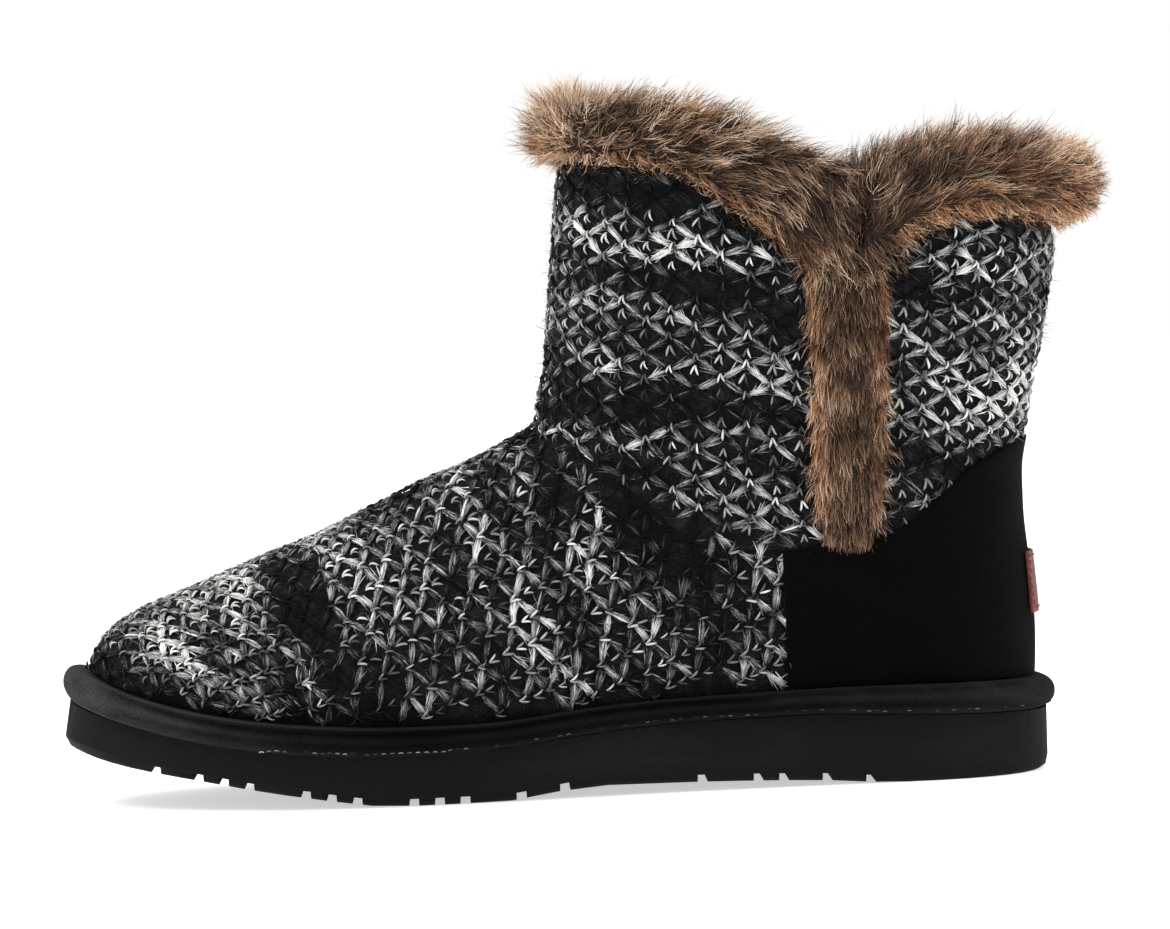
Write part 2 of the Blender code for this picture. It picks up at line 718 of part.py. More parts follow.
def main():
    for old in list(bpy.data.objects):
        bpy.data.objects.remove(old, do_unlink=True)
    foam = make_material("black_foam", (0.016, 0.016, 0.017), 0.6)
    suede = make_material("black_suede", (0.022, 0.021, 0.022), 0.95)
    knit = make_material("knit", (0.19, 0.19, 0.18), 0.95)
    felt = make_material("insole_felt", (0.11, 0.10, 0.095), 0.95)
    fur = make_material("brown_fur", (0.16, 0.105, 0.07), 0.9)
    leather = make_material("plain_patch", (0.22, 0.05, 0.04), 0.6)
    chance = random.Random(7)
    make_outsole(foam)
    make_sole_piece("rand", RAND_RINGS, RAND_BULGE, rand_foot, rand_top, suede)
    make_insole(felt)
    make_upper(knit)
    make_counter(suede)
    make_heel_patch(leather)
    notch = math.acos(1 - 2 * NOTCH) / (2 * math.pi)
    room = 0.0016
    make_collar_fur("collar_fur_front", room - notch, notch - room, 28, fur, chance)
    make_collar_fur("collar_fur_back", notch + room, 1 - notch - room, 24, fur, chance)
    make_side_fur("side_fur_lateral", LATERAL, fur, chance)
    make_side_fur("side_fur_medial", MEDIAL, fur, chance)


main()
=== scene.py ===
import math

import bmesh
import bpy
import numpy as np
from mathutils import Matrix, Vector
from mathutils.bvhtree import BVHTree
from mathutils.kdtree import KDTree


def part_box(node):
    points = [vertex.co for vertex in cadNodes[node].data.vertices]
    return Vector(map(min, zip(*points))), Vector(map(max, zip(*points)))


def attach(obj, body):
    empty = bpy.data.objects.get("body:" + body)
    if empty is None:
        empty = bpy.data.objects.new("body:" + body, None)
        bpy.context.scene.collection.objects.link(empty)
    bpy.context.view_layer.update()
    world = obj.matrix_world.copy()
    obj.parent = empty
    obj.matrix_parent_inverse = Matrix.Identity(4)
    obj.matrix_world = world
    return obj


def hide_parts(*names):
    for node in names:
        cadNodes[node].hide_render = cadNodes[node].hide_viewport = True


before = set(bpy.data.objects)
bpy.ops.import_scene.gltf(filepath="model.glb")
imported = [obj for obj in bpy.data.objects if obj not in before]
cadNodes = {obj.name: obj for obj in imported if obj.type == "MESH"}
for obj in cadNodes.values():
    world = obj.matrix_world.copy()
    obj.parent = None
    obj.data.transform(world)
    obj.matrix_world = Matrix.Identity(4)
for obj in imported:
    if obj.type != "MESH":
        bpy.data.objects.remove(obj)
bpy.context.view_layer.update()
dice = np.random.default_rng(11)
print("frame loaded with", len(cadNodes), "nodes")

# metres; toe -X, heel +X, outer side -Y, inner side +Y, floor at z = 0


# view, floor and light

viewValues = {
    "place": (-0.089, -1.6, 0.137),
    "aim": (-0.089, 0.0, 0.0885),
    "rollDegrees": -2.4,
    "focalPixels": 5792,
    "frameWide": 1170,
    "sensorWide": 36,
}


def addCamera(values):
    place = Vector(values["place"])
    ahead = (Vector(values["aim"]) - place).normalized()
    right = ahead.cross(Vector((0, 0, 1))).normalized()
    up = right.cross(ahead)
    roll = math.radians(values["rollDegrees"])
    rolledRight = right * math.cos(roll) + up * math.sin(roll)
    rolledUp = up * math.cos(roll) - right * math.sin(roll)
    lens = bpy.data.cameras.new("photoCamera")
    lens.sensor_width = values["sensorWide"]
    lens.lens = values["sensorWide"] * values["focalPixels"] / values["frameWide"]
    camera = bpy.data.objects.new("photoCamera", lens)
    bpy.context.collection.objects.link(camera)
    turn = Matrix((rolledRight, rolledUp, -ahead)).transposed().to_4x4()
    camera.matrix_world = Matrix.Translation(place) @ turn
    bpy.context.scene.camera = camera


# materials

class Wire:  # a socket whose sums and products add Math nodes
    def __init__(self, finish, socket):
        self.finish, self.socket = finish, socket

    def maths(self, operation, *values):
        sockets = dict(enumerate(values))
        return self.finish.node("ShaderNodeMath", {"operation": operation}, sockets)

    def __add__(self, other):
        return self.maths("ADD", self, other)

    def __sub__(self, other):
        return self.maths("SUBTRACT", self, other)

    def __mul__(self, other):
        return self.maths("MULTIPLY", self, other)

    def __abs__(self):
        return self.maths("ABSOLUTE", self)


class Finish:  # one material and the nodes that feed its surface
    def __init__(self, name):
        self.material = bpy.data.materials.new(name)
        self.material.use_nodes = True
        self.tree = self.material.node_tree
        self.surface = self.tree.nodes["Principled BSDF"]
        self.place = self.node("ShaderNodeTexCoord", out="Object")

    def fill(self, sockets, values):
        for key, value in values.items():
            if isinstance(value, Wire):
                self.tree.links.new(value.socket, sockets[key])
            else:
                sockets[key].default_value = value

    def node(self, kind, settings=None, values=None, out=0):
        made = self.tree.nodes.new(kind)
        for key, value in (settings or {}).items():
            if key == "stops":
                self.setStops(made.color_ramp, value)
            else:
                setattr(made, key, value)
        self.fill(made.inputs, values or {})
        return Wire(self, made.outputs[out])

    def setStops(self, ramp, stops):
        while len(ramp.elements) < len(stops):
            ramp.elements.new(1.0)
        for element, (place, colour) in zip(ramp.elements, stops):
            element.position = place
            element.color = (*colour, 1.0)

    def set(self, **values):
        names = {"colour": "Base Color", "roughness": "Roughness", "normal": "Normal",
                 "sheen": "Sheen Weight", "sheenRoughness": "Sheen Roughness",
                 "specular": "Specular IOR Level", "glow": "Emission Color",
                 "glowStrength": "Emission Strength"}
        self.fill(self.surface.inputs, {names[key]: value for key, value in values.items()})
        return self.material

    def grain(self, scale, detail=3.0, roughness=0.55, stretch=None):
        place = self.place
        if stretch:
            place = self.node("ShaderNodeMapping", {}, {"Vector": place, "Scale": stretch})
        values = {"Vector": place, "Scale": scale, "Detail": detail, "Roughness": roughness}
        return self.node("ShaderNodeTexNoise", {}, values)

    def cells(self, scale):
        return self.node("ShaderNodeTexVoronoi", {}, {"Vector": self.place, "Scale": scale})

    def range(self, value, low, high, toLow=0.0, toHigh=1.0):
        values = {"Value": value, "From Min": low, "From Max": high,
                  "To Min": toLow, "To Max": toHigh}
        return self.node("ShaderNodeMapRange", {"clamp": True}, values)

    def mix(self, share, first, second):
        asColour = [v if isinstance(v, Wire) else (*v, 1.0) for v in (first, second)]
        sockets = {0: share, 6: asColour[0], 7: asColour[1]}
        return self.node("ShaderNodeMix", {"data_type": "RGBA"}, sockets, out=2)

    def ramp(self, value, stops):
        return self.node("ShaderNodeValToRGB", {"stops": stops}, {"Fac": value})

    def attribute(self, name):
        return self.node("ShaderNodeAttribute", {"attribute_name": name}, out="Fac")

    def bump(self, height, distance):
        return self.node("ShaderNodeBump", {}, {"Height": height, "Distance": distance})


def makeKnitGround():
    finish = Finish("knitGround")
    fibre = finish.grain(900.0, 4.0, stretch=(1.0, 1.0, 2.2))
    clump = finish.grain(210.0)
    lit = finish.range(fibre * clump, 0.2, 0.5)
    return finish.set(colour=finish.mix(lit, (0.0035, 0.0035, 0.004), (0.022, 0.022, 0.023)),
                      roughness=0.95, specular=0.06, sheen=0.03,
                      normal=finish.bump(fibre * 0.5 + clump, 0.0011))


def makeYarn():
    finish = Finish("yarn")
    tone = finish.attribute("yarnTone")
    fibre = finish.grain(2400.0, 3.0, 0.7)
    blotch = finish.grain(260.0, 2.0)
    whiteness = finish.range(tone + (fibre - 0.5) * 0.6 + (blotch - 0.5) * 0.4, 0.0, 1.6)
    colour = finish.ramp(whiteness, [(0.0, (0.0045, 0.0045, 0.005)), (0.22, (0.018, 0.0185, 0.019)),
                                     (0.42, (0.095, 0.099, 0.096)), (0.60, (0.27, 0.282, 0.27)),
                                     (0.78, (0.52, 0.535, 0.51)), (1.0, (0.80, 0.81, 0.78))])
    return finish.set(colour=colour, roughness=0.95, specular=0.07,
                      normal=finish.bump(fibre, 0.0003))


def makeFur():
    finish = Finish("fur")
    along = finish.attribute("hairAlong")
    tone = finish.attribute("hairTone")
    warmth = finish.attribute("hairWarmth")
    bands = [(0.0, 0.55), (0.42, 0.30), (0.68, 0.50), (1.0, 0.95)]  # root, dark band, pale tip
    band = finish.ramp(along, [(place, (grey,) * 3) for place, grey in bands])
    shade = finish.range(band * 0.74 + tone * 0.75 - 0.34, 0.0, 1.0)
    cool = finish.ramp(shade, [(0.0, (0.008, 0.0048, 0.0036)), (0.22, (0.030, 0.0172, 0.0112)),
                               (0.45, (0.105, 0.060, 0.036)), (0.66, (0.30, 0.185, 0.115)),
                               (0.84, (0.60, 0.45, 0.33)), (1.0, (0.88, 0.76, 0.62))])
    warm = finish.ramp(shade, [(0.0, (0.026, 0.009, 0.004)), (0.25, (0.10, 0.036, 0.014)),
                               (0.5, (0.29, 0.122, 0.052)), (0.75, (0.56, 0.32, 0.165)),
                               (1.0, (0.86, 0.64, 0.44))])
    return finish.set(colour=finish.mix(warmth, cool, warm), roughness=0.6, specular=0.16,
                      sheen=0.05, sheenRoughness=0.4)


def makeFurGround():
    finish = Finish("furGround")
    fibre = finish.grain(850.0, 4.0, 0.7, stretch=(1.0, 1.0, 0.35))
    clump = finish.grain(160.0)
    colour = finish.ramp(fibre * 0.6 + clump * 0.4, [(0.3, (0.006, 0.004, 0.003)),
                                                     (0.55, (0.026, 0.015, 0.010)),
                                                     (0.8, (0.10, 0.06, 0.038))])
    return finish.set(colour=colour, roughness=0.8, specular=0.1,
                      normal=finish.bump(fibre + clump, 0.0016))


def makeSuede(name, dark, light, lit):
    lengthMiddle, highlightFrom = 0.098, (0.05, 0.13)  # painted highlight: the suede is made palest towards the toe and the heel
    finish = Finish(name)
    nap = finish.grain(1300.0, 5.0, 0.75)
    brushed = finish.grain(62.0, 4.0, 0.6, stretch=(1.0, 1.0, 1.7))
    pores = finish.cells(1500.0)
    worn = finish.range(brushed * 0.6 + nap * 0.9, 0.45, 1.1)
    apart = finish.node("ShaderNodeSeparateXYZ", {}, {0: finish.place}) + lengthMiddle
    ends = finish.range(abs(apart), *highlightFrom, 0.2, 1.2)
    ends = ends - finish.range(apart, *highlightFrom, 0.0, 0.85)  # the painted highlight is weaker at the heel end
    return finish.set(colour=finish.mix(worn * ends * lit, dark, light), specular=0.035,
                      sheen=0.012, sheenRoughness=0.5,
                      roughness=finish.range(brushed, 0.3, 0.7, 0.86, 1.0),
                      normal=finish.bump(nap * 1.1 + pores * 0.35 + brushed * 0.6, 0.0006))


def makeFoam():
    finish = Finish("foam")
    skin = finish.grain(1400.0)
    flow = finish.grain(34.0, 4.0, stretch=(0.5, 1.0, 2.4))
    pits = finish.cells(620.0)
    scuff = finish.range(flow + (skin - 0.5) * 0.5, 0.5, 0.85)
    return finish.set(colour=finish.mix(scuff, (0.0062, 0.0062, 0.0063), (0.0120, 0.0120, 0.0123)),
                      roughness=finish.range(skin + flow, 0.7, 1.3, 0.62, 0.8), specular=0.05,
                      normal=finish.bump(skin * 0.5 + pits * 0.25 + flow * 0.6, 0.0003))


def makeLining():
    finish = Finish("liningFleece")
    curl = finish.cells(420.0)
    pile = finish.grain(1100.0, 4.0, 0.7)
    soft = finish.grain(60.0, 2.0)
    lit = finish.range(curl * 0.7 + pile * 0.6 + (soft - 0.5) * 0.4, 0.2, 0.95)
    return finish.set(colour=finish.mix(lit, (0.09, 0.078, 0.066), (0.36, 0.32, 0.275)),
                      roughness=0.95, specular=0.15, sheen=0.3,
                      normal=finish.bump(curl * 0.7 + pile * 0.5, 0.0013))


def makeFelt():
    finish = Finish("felt")
    pile = finish.grain(1500.0, 5.0, 0.75)
    worn = finish.grain(38.0)
    colour = finish.mix(finish.range(pile * 0.6 + worn * 0.4, 0.35, 0.65),
                        (0.065, 0.058, 0.052), (0.19, 0.17, 0.15))
    return finish.set(colour=colour, roughness=0.95, specular=0.12, sheen=0.15,
                      normal=finish.bump(pile, 0.0007))


def makePatchLeather():
    finish = Finish("patchLeather")
    pebble = finish.cells(900.0)
    rubbed = finish.grain(130.0)
    worn = finish.range(rubbed, 0.35, 0.7)
    colour = finish.mix(worn, (0.085, 0.014, 0.011), (0.17, 0.036, 0.026))
    return finish.set(colour=colour, roughness=finish.range(pebble, 0.0, 0.6, 0.5, 0.66),
                      specular=0.35, normal=finish.bump(pebble, 0.0003))


def makeThread(name, dark, light):
    finish = Finish(name)
    twist = finish.grain(1900.0, 2.0)
    shade = finish.range(twist * 0.4 + finish.attribute("threadTone"), 0.2, 1.2)
    return finish.set(colour=finish.mix(shade, dark, light), roughness=0.7, specular=0.15,
                      normal=finish.bump(twist, 0.0002))


def makeFloor():
    finish = Finish("paleFloor")
    dust = finish.grain(3.0, 2.0)
    return finish.set(colour=finish.mix(dust, (0.86, 0.86, 0.86), (0.89, 0.89, 0.89)),
                      roughness=0.9, specular=0.1, glow=(1.0, 1.0, 1.0, 1.0), glowStrength=0.55)


materials = {
    "ground": makeKnitGround(), "yarn": makeYarn(), "fur": makeFur(), "furGround": makeFurGround(),
    "counter": makeSuede("counterSuede", (0.0009, 0.00085, 0.0008), (0.0030, 0.0028, 0.0026), 0.7),
    "rand": makeSuede("randSuede", (0.0032, 0.0032, 0.0032), (0.062, 0.062, 0.063), 1.0),
    "foam": makeFoam(), "lining": makeLining(), "felt": makeFelt(), "patch": makePatchLeather(),
    "soleThread": makeThread("soleThread", (0.004, 0.004, 0.004), (0.42, 0.42, 0.40)),
    "patchThread": makeThread("patchThread", (0.10, 0.025, 0.02), (0.42, 0.16, 0.12)),
    "floor": makeFloor(),
}
print("materials made:", len(materials))

stageValues = {
    "floorHalf": 9.0,
    "skyStrength": 1.0,
    "lights": [  # name, place, size, watts
        ("keySoftbox", (-1.05, -0.75, 1.35), 0.8, 14.0),
        ("sideSoftbox", (0.95, -0.85, 0.75), 0.8, 3.0),
        ("topSoftbox", (0.0, 0.3, 1.5), 0.9, 10.0),
    ],
    "lightAim": (-0.09, 0.0, 0.08),
}


def addStage(values):
    half = values["floorHalf"]
    corners = [(-half, -half, 0), (half, -half, 0), (half, half, 0), (-half, half, 0)]
    mesh = bpy.data.meshes.new("floor")
    mesh.from_pydata(corners, [], [(0, 1, 2, 3)])
    floor = bpy.data.objects.new("floor", mesh)
    floor.data.materials.append(materials["floor"])
    bpy.context.collection.objects.link(floor)
    world = bpy.data.worlds.new("studio")
    world.use_nodes = True
    sky = world.node_tree.nodes["Background"]
    sky.inputs["Color"].default_value = (1.0, 1.0, 1.0, 1.0)
    sky.inputs["Strength"].default_value = values["skyStrength"]
    bpy.context.scene.world = world
    for name, place, size, watts in values["lights"]:
        lamp = bpy.data.lights.new(name, "AREA")
        lamp.size = size
        lamp.energy = watts
        light = bpy.data.objects.new(name, lamp)
        light.location = place
        aim = Vector(values["lightAim"]) - Vector(place)
        light.rotation_euler = aim.to_track_quat("-Z", "Y").to_euler()
        bpy.context.collection.objects.link(light)
    bpy.context.scene.view_settings.view_transform = "Standard"


addCamera(viewValues)
addStage(stageValues)
print("camera, floor and lights placed")


# meshes

meshValues = {
    "weld": 1e-6, "joinFaceDegrees": 40, "joinShapeDegrees": 60,
    "fits": 3, "relaxed": 0.85, "creaseWeight": 0.75,
}


def linkPiece(name, mesh, replaced=()):
    piece = bpy.data.objects.new(name, mesh)
    bpy.context.collection.objects.link(piece)
    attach(piece, "root")
    if replaced:
        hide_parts(*replaced)
    return piece


def quadPiece(name, points, faces, material, values=None):
    mesh = bpy.data.meshes.new(name)
    mesh.vertices.add(len(points))
    mesh.vertices.foreach_set("co", points.astype(np.float32).ravel())
    mesh.loops.add(faces.size)
    mesh.loops.foreach_set("vertex_index", faces.astype(np.int32).ravel())
    mesh.polygons.add(len(faces))
    mesh.polygons.foreach_set("loop_start", np.arange(0, faces.size, 4, dtype=np.int32))
    mesh.update(calc_edges=True)
    mesh.shade_smooth()
    mesh.materials.append(material)
    for key, numbers in (values or {}).items():
        layer = mesh.attributes.new(key, "FLOAT", "POINT")
        layer.data.foreach_set("value", numbers.astype(np.float32).ravel())
    return linkPiece(name, mesh)


def vectorsOf(items, key):
    flat = np.empty(len(items) * 3, np.float32)
    items.foreach_get(key, flat)
    return flat.reshape(-1, 3).astype(float)


def coordsOf(mesh):
    return vectorsOf(mesh.vertices, "co")


def normalsOf(mesh):
    return vectorsOf(mesh.vertex_normals, "vector")


def setCoords(mesh, coords):
    mesh.vertices.foreach_set("co", coords.astype(np.float32).ravel())
    mesh.update()


def weldedMesh(nodeName, joins=True):
    bm = bmesh.new()
    bm.from_mesh(cadNodes[nodeName].data)
    bmesh.ops.remove_doubles(bm, verts=bm.verts, dist=meshValues["weld"])
    if joins:
        faceTurn = math.radians(meshValues["joinFaceDegrees"])
        shapeTurn = math.radians(meshValues["joinShapeDegrees"])
        bmesh.ops.join_triangles(bm, faces=bm.faces, angle_face_threshold=faceTurn,
                                 angle_shape_threshold=shapeTurn)
    mesh = bpy.data.meshes.new(nodeName + "Base")
    bm.to_mesh(mesh)
    bm.free()
    mesh.materials.clear()
    return mesh


def evaluated(holder):
    depsgraph = bpy.context.evaluated_depsgraph_get()
    depsgraph.update()
    return bpy.data.meshes.new_from_object(holder.evaluated_get(depsgraph))


def refined(mesh, levels, sharpDegrees=None):  # subdivided, through the points it starts from
    holder = bpy.data.objects.new("holder", mesh)
    bpy.context.collection.objects.link(holder)
    if sharpDegrees is not None:
        creaseSharpEdges(mesh, sharpDegrees)
    subdivision = holder.modifiers.new("subdivision", "SUBSURF")
    subdivision.levels = levels
    target = coordsOf(mesh)
    for fit in range(meshValues["fits"]):
        result = evaluated(holder)
        missed = target - coordsOf(result)[:len(target)]
        setCoords(mesh, coordsOf(mesh) + missed * meshValues["relaxed"])
        bpy.data.meshes.remove(result)
    result = evaluated(holder)
    bpy.data.objects.remove(holder)
    result.shade_smooth()
    return result


def creaseSharpEdges(mesh, degrees):
    bm = bmesh.new()
    bm.from_mesh(mesh)
    layer = bm.edges.layers.float.new("crease_edge")
    for edge in bm.edges:
        if len(edge.link_faces) == 2 and edge.calc_face_angle(0.0) > math.radians(degrees):
            edge[layer] = meshValues["creaseWeight"]
    bm.to_mesh(mesh)
    bm.free()


def treeOf(*meshes, keep=None):
    corners, faces = [], []
    for mesh in meshes:
        start = len(corners)
        corners += [tuple(v.co) for v in mesh.vertices]
        faces += [tuple(start + i for i in p.vertices) for p in mesh.polygons
                  if keep is None or keep[p.index]]
    return BVHTree.FromPolygons(corners, faces)


def castIn(tree, centre, way, reach):  # spot and facing where a ray from outside meets the surface
    return tree.ray_cast(centre + way * reach, -way, reach)[:2]


def unit(vectors):
    return vectors / np.maximum(np.linalg.norm(vectors, axis=-1, keepdims=True), 1e-12)


def between(value, low, high):
    share = np.clip((value - low) / (high - low), 0.0, 1.0)
    return share * share * (3 - 2 * share)


noiseTable = dice.random((97, 89))


def softNoise(u, v):  # smooth noise from 0 to 1 over a plane, one cell a unit
    u, v = np.asarray(u, float) + 500, np.asarray(v, float) + 500
    column, row = np.floor(u).astype(int), np.floor(v).astype(int)
    a, b = u - column, v - row
    a, b = a * a * (3 - 2 * a), b * b * (3 - 2 * b)
    wide, tall = noiseTable.shape
    corner = [[noiseTable[(column + i) % wide, (row + j) % tall] for j in (0, 1)] for i in (0, 1)]
    low = corner[0][0] * (1 - a) + corner[1][0] * a
    high = corner[0][1] * (1 - a) + corner[1][1] * a
    return low * (1 - b) + high * b


# the upper's padded shell, with its creases

upperValues = {
    "spine": [(-0.205, 0.042), (-0.100, 0.050), (-0.028, 0.060), (-0.028, 0.200)],  # x, z
    "swell": 0.0006,
    "hideReach": 0.006,
    "fadeSteps": 6,  # rings of points over which the swell fades out
    "waver": 0.0009,
    "seam": [(-0.1035, 0.0985), (-0.0956, 0.0928), (-0.085, 0.0869), (-0.0744, 0.081),
             (-0.0639, 0.0738), (-0.0533, 0.0693), (-0.0399, 0.0647), (-0.0200, 0.0600)],
    "creases": [  # from x, z to x, z, depth, width, side (-1 outer, 1 inner, 0 both)
        ((-0.108, 0.104), (-0.070, 0.083), 0.0013, 0.0040, 0),
        ((-0.099, 0.115), (-0.066, 0.097), 0.0009, 0.0042, -1),
        ((-0.100, 0.118), (-0.072, 0.103), 0.0009, 0.0045, 1),
        ((-0.120, 0.088), (-0.092, 0.070), 0.0008, 0.0050, 0),
        ((-0.143, 0.074), (-0.122, 0.052), 0.0007, 0.0060, 0),
        ((-0.018, 0.152), (-0.022, 0.120), 0.0006, 0.0060, 0),
        ((0.022, 0.120), (0.002, 0.098), 0.0008, 0.0060, 0),
        ((-0.072, 0.140), (-0.050, 0.118), 0.0006, 0.0070, -1),
    ],
}


def stretchTo(points, start, end):
    along = np.array(end) - np.array(start)
    share = np.clip((points - start) @ along / (along @ along), 0.0, 1.0)
    return np.linalg.norm(points - (np.array(start) + share[:, None] * along), axis=1), share


def creaseDepth(points, creases):
    flat = points[:, [0, 2]]
    total = np.zeros(len(points))
    for start, end, depth, width, side in creases:
        away, share = stretchTo(flat, start, end)
        fade = np.sin(np.pi * np.clip(share, 0.08, 0.92)) ** 0.6
        where = 1.0 if side == 0 else between(points[:, 1] * side, -0.006, 0.012)
        trough = np.exp(-(away / width) ** 2)
        ridges = np.exp(-((away - 1.9 * width) / (0.9 * width)) ** 2)
        total += depth * fade * where * (0.45 * ridges - trough)
    return total


def nearestOnSpine(points, spine):
    best = np.full(len(points), np.inf)
    nearest = np.zeros((len(points), 3))
    for start, end in zip(spine, spine[1:]):
        a, b = (np.array((x, 0, z)) for x, z in (start, end))
        away, share = stretchTo(points, a, b)
        spot, closer = a + share[:, None] * (b - a), away < best
        best[closer], nearest[closer] = away[closer], spot[closer]
    return nearest


coverNames = ("heel_counter", "rand", "side_fur_lateral", "side_fur_medial",
              "collar_fur_front", "collar_fur_back", "outsole")
coverTree = treeOf(*(cadNodes[name].data for name in coverNames))


def isCovered(point, normal, reach):
    start = Vector(point) - Vector(normal) * 0.0006
    return coverTree.ray_cast(start, Vector(normal), reach)[0] is not None


def seamHeight(x):
    line = np.array(upperValues["seam"])
    return np.interp(x, line[:, 0], line[:, 1], left=0.5, right=0.0)


def makeUpperShell(values):
    mesh = refined(weldedMesh("upper"), 2)
    coords, normals = coordsOf(mesh), normalsOf(mesh)
    outward = coords - nearestOnSpine(coords, values["spine"])
    isOuter = np.einsum("ij,ij->i", outward, normals) > 0
    covered = np.array([isCovered(p, n, values["hideReach"]) if outer else True
                        for p, n, outer in zip(coords, normals, isOuter)])
    free = np.where(isOuter & ~covered, 1.0, 0.0)
    edges = np.array([tuple(e.vertices) for e in mesh.edges])
    for step in range(values["fadeSteps"]):  # the swell fades out towards what covers the edge
        total, count = np.zeros(len(coords)), np.zeros(len(coords))
        for a, b in ((0, 1), (1, 0)):
            np.add.at(total, edges[:, a], free[edges[:, b]])
            np.add.at(count, edges[:, a], 1)
        faded = np.minimum(free, total / np.maximum(count, 1) + 0.02)
        free = np.where(isOuter & ~covered, faded, 0.0)
    waves = softNoise(coords[:, 0] * 55, coords[:, 2] * 55 + coords[:, 1] * 30) - 0.5
    push = values["swell"] + creaseDepth(coords, values["creases"])
    push += waves * values["waver"]
    coords += normals * (push * free)[:, None]
    setCoords(mesh, coords)
    mesh.materials.append(materials["ground"])
    mesh.materials.append(materials["lining"])
    faceOuter = np.array([all(isOuter[v] for v in p.vertices) for p in mesh.polygons])
    mesh.polygons.foreach_set("material_index", np.where(faceOuter, 0, 1).astype(np.int32))
    piece = linkPiece("upperShell", mesh, ["upper"])
    return piece, treeOf(mesh, keep=faceOuter)


upperShell, outerTree = makeUpperShell(upperValues)
print("upper shell:", len(upperShell.data.polygons), "faces")


# knitted lattice of the upper

knitValues = {
    "shaft": {"tilt": 11.0, "long": 0.0140, "short": 0.0080,  # degrees, size of a diamond
              "middle": -0.026, "foot": 0.028, "tall": 0.150, "ankleTop": 0.112,
              "rowUp": 1, "seeds": {-1: 3.7, 1: 11.3}, "streakTurn": -11.0},
    "vamp": {"tilt": 18.0, "long": 0.0133, "short": 0.0075,
             "hinge": (-0.157, 0, 0.008), "heelEnd": -0.018, "lastRow": -0.012,
             "ridgeTop": 0.096, "levelLine": 0.050,
             "rowUp": -1, "seeds": {-1: 5.1, 1: 8.9}, "streakTurn": 108.0},
    "castReach": 0.3,
    "strandRadius": 0.00030, "bow": 0.00050, "lift": 0.00075, "rootLift": 0.00025,
    "loopTall": 0.0026, "loopWide": 0.0022, "loopRadius": 0.00034, "loopLift": 0.00085,
    "fibresEach": 20, "fanWide": 0.0011, "fanDrift": 0.0005, "fibreLift": 0.0003,
    "haloEach": 6, "haloLong": 0.0042, "haloFrom": 0.0006,
    "strandTone": 0.28, "loopTone": 0.08, "knotShade": 1.15,
    "jitter": 0.00042, "seamGap": 0.0008, "hideReach": 0.004,
    "streakLong": 0.030, "streakWide": 0.0056, "whiteShare": 0.485, "contrast": 2.25,
    "shaftStreaks": [  # mm: x, z, reach along the row and across it; percent paler or darker
        (-89.5, 138, 12, 16, 45), (-66, 152, 24, 5, 50), (-58, 140, 18, 4, -40),
        (-71, 165, 20, 6, -40), (-75, 113, 16, 5, 45), (-45, 107, 14, 5, 40),
        (-79, 101.5, 16, 4, -40), (-38, 95, 12, 10, 15), (-72, 128, 20, 5, 12),
        (26, 146, 16, 5, 50), (24, 102, 18, 8, 55), (5, 132, 14, 6, -30), (9, 83, 14, 5, -30),
        (20, 122, 20, 7, 50), (-75, 86, 16, 9, -35), (12, 112, 30, 30, 38), (-91, 120, 8, 12, 25),
        (-91, 160, 10, 12, 25), (-45, 90, 30, 12, 22), (22, 130, 20, 40, 18),
    ],
    "vampStreaks": [
        (-84, 66, 20, 6, 45), (-115, 52, 18, 6, 35), (-139, 57, 18, 5, 40),
        (-182.5, 45, 14, 6, 45), (-205, 52, 12, 9, 25), (-158, 80, 8, 13, 40),
        (-117, 91, 8, 13, 25), (-161, 50, 16, 6, -40), (-126, 64.5, 12, 5, -40),
        (-100, 42, 10, 5, -30), (-54, 52, 16, 8, -40), (-177, 66, 8, 6, -30),
        (-73, 40, 12, 6, 30), (-75, 78, 12, 10, -40), (-190, 62, 10, 8, 35),
        (-205, 58, 20, 14, 18), (-108, 94, 8, 10, 25), (-170, 76, 14, 12, 20),
        (-205, 56, 18, 10, 40), (-183, 66, 20, 8, 25), (-43, 31, 18, 9, 50), (-47, 54, 14, 8, 40),
        (-64, 34, 12, 6, 25),
    ],
}


def columns(items, picks=slice(None)):  # one array for each entry of the tuples
    return [np.array(column)[picks] for column in zip(*items)]


def castRow(centre, first, second, angles):
    hits = []
    for angle in angles:
        way = first * math.cos(angle) + second * math.sin(angle)
        hit, normal = castIn(outerTree, centre, way, knitValues["castReach"])
        if hit is not None:
            hits.append((hit, normal))
        elif hits:
            break
    return columns(hits) if hits else ([], [])


def lengthAlong(spots):
    return np.concatenate([[0.0], np.cumsum(np.linalg.norm(np.diff(spots, axis=0), axis=1))])


def rowOf(spots, facings, shift):
    return {"spots": spots, "facings": facings, "along": lengthAlong(spots) + shift}


def pointsOn(row, places):
    pick = [np.interp(places, row["along"], row["spots"][:, i]) for i in range(3)]
    face = [np.interp(places, row["along"], row["facings"][:, i]) for i in range(3)]
    return np.stack(pick, 1), unit(np.stack(face, 1))


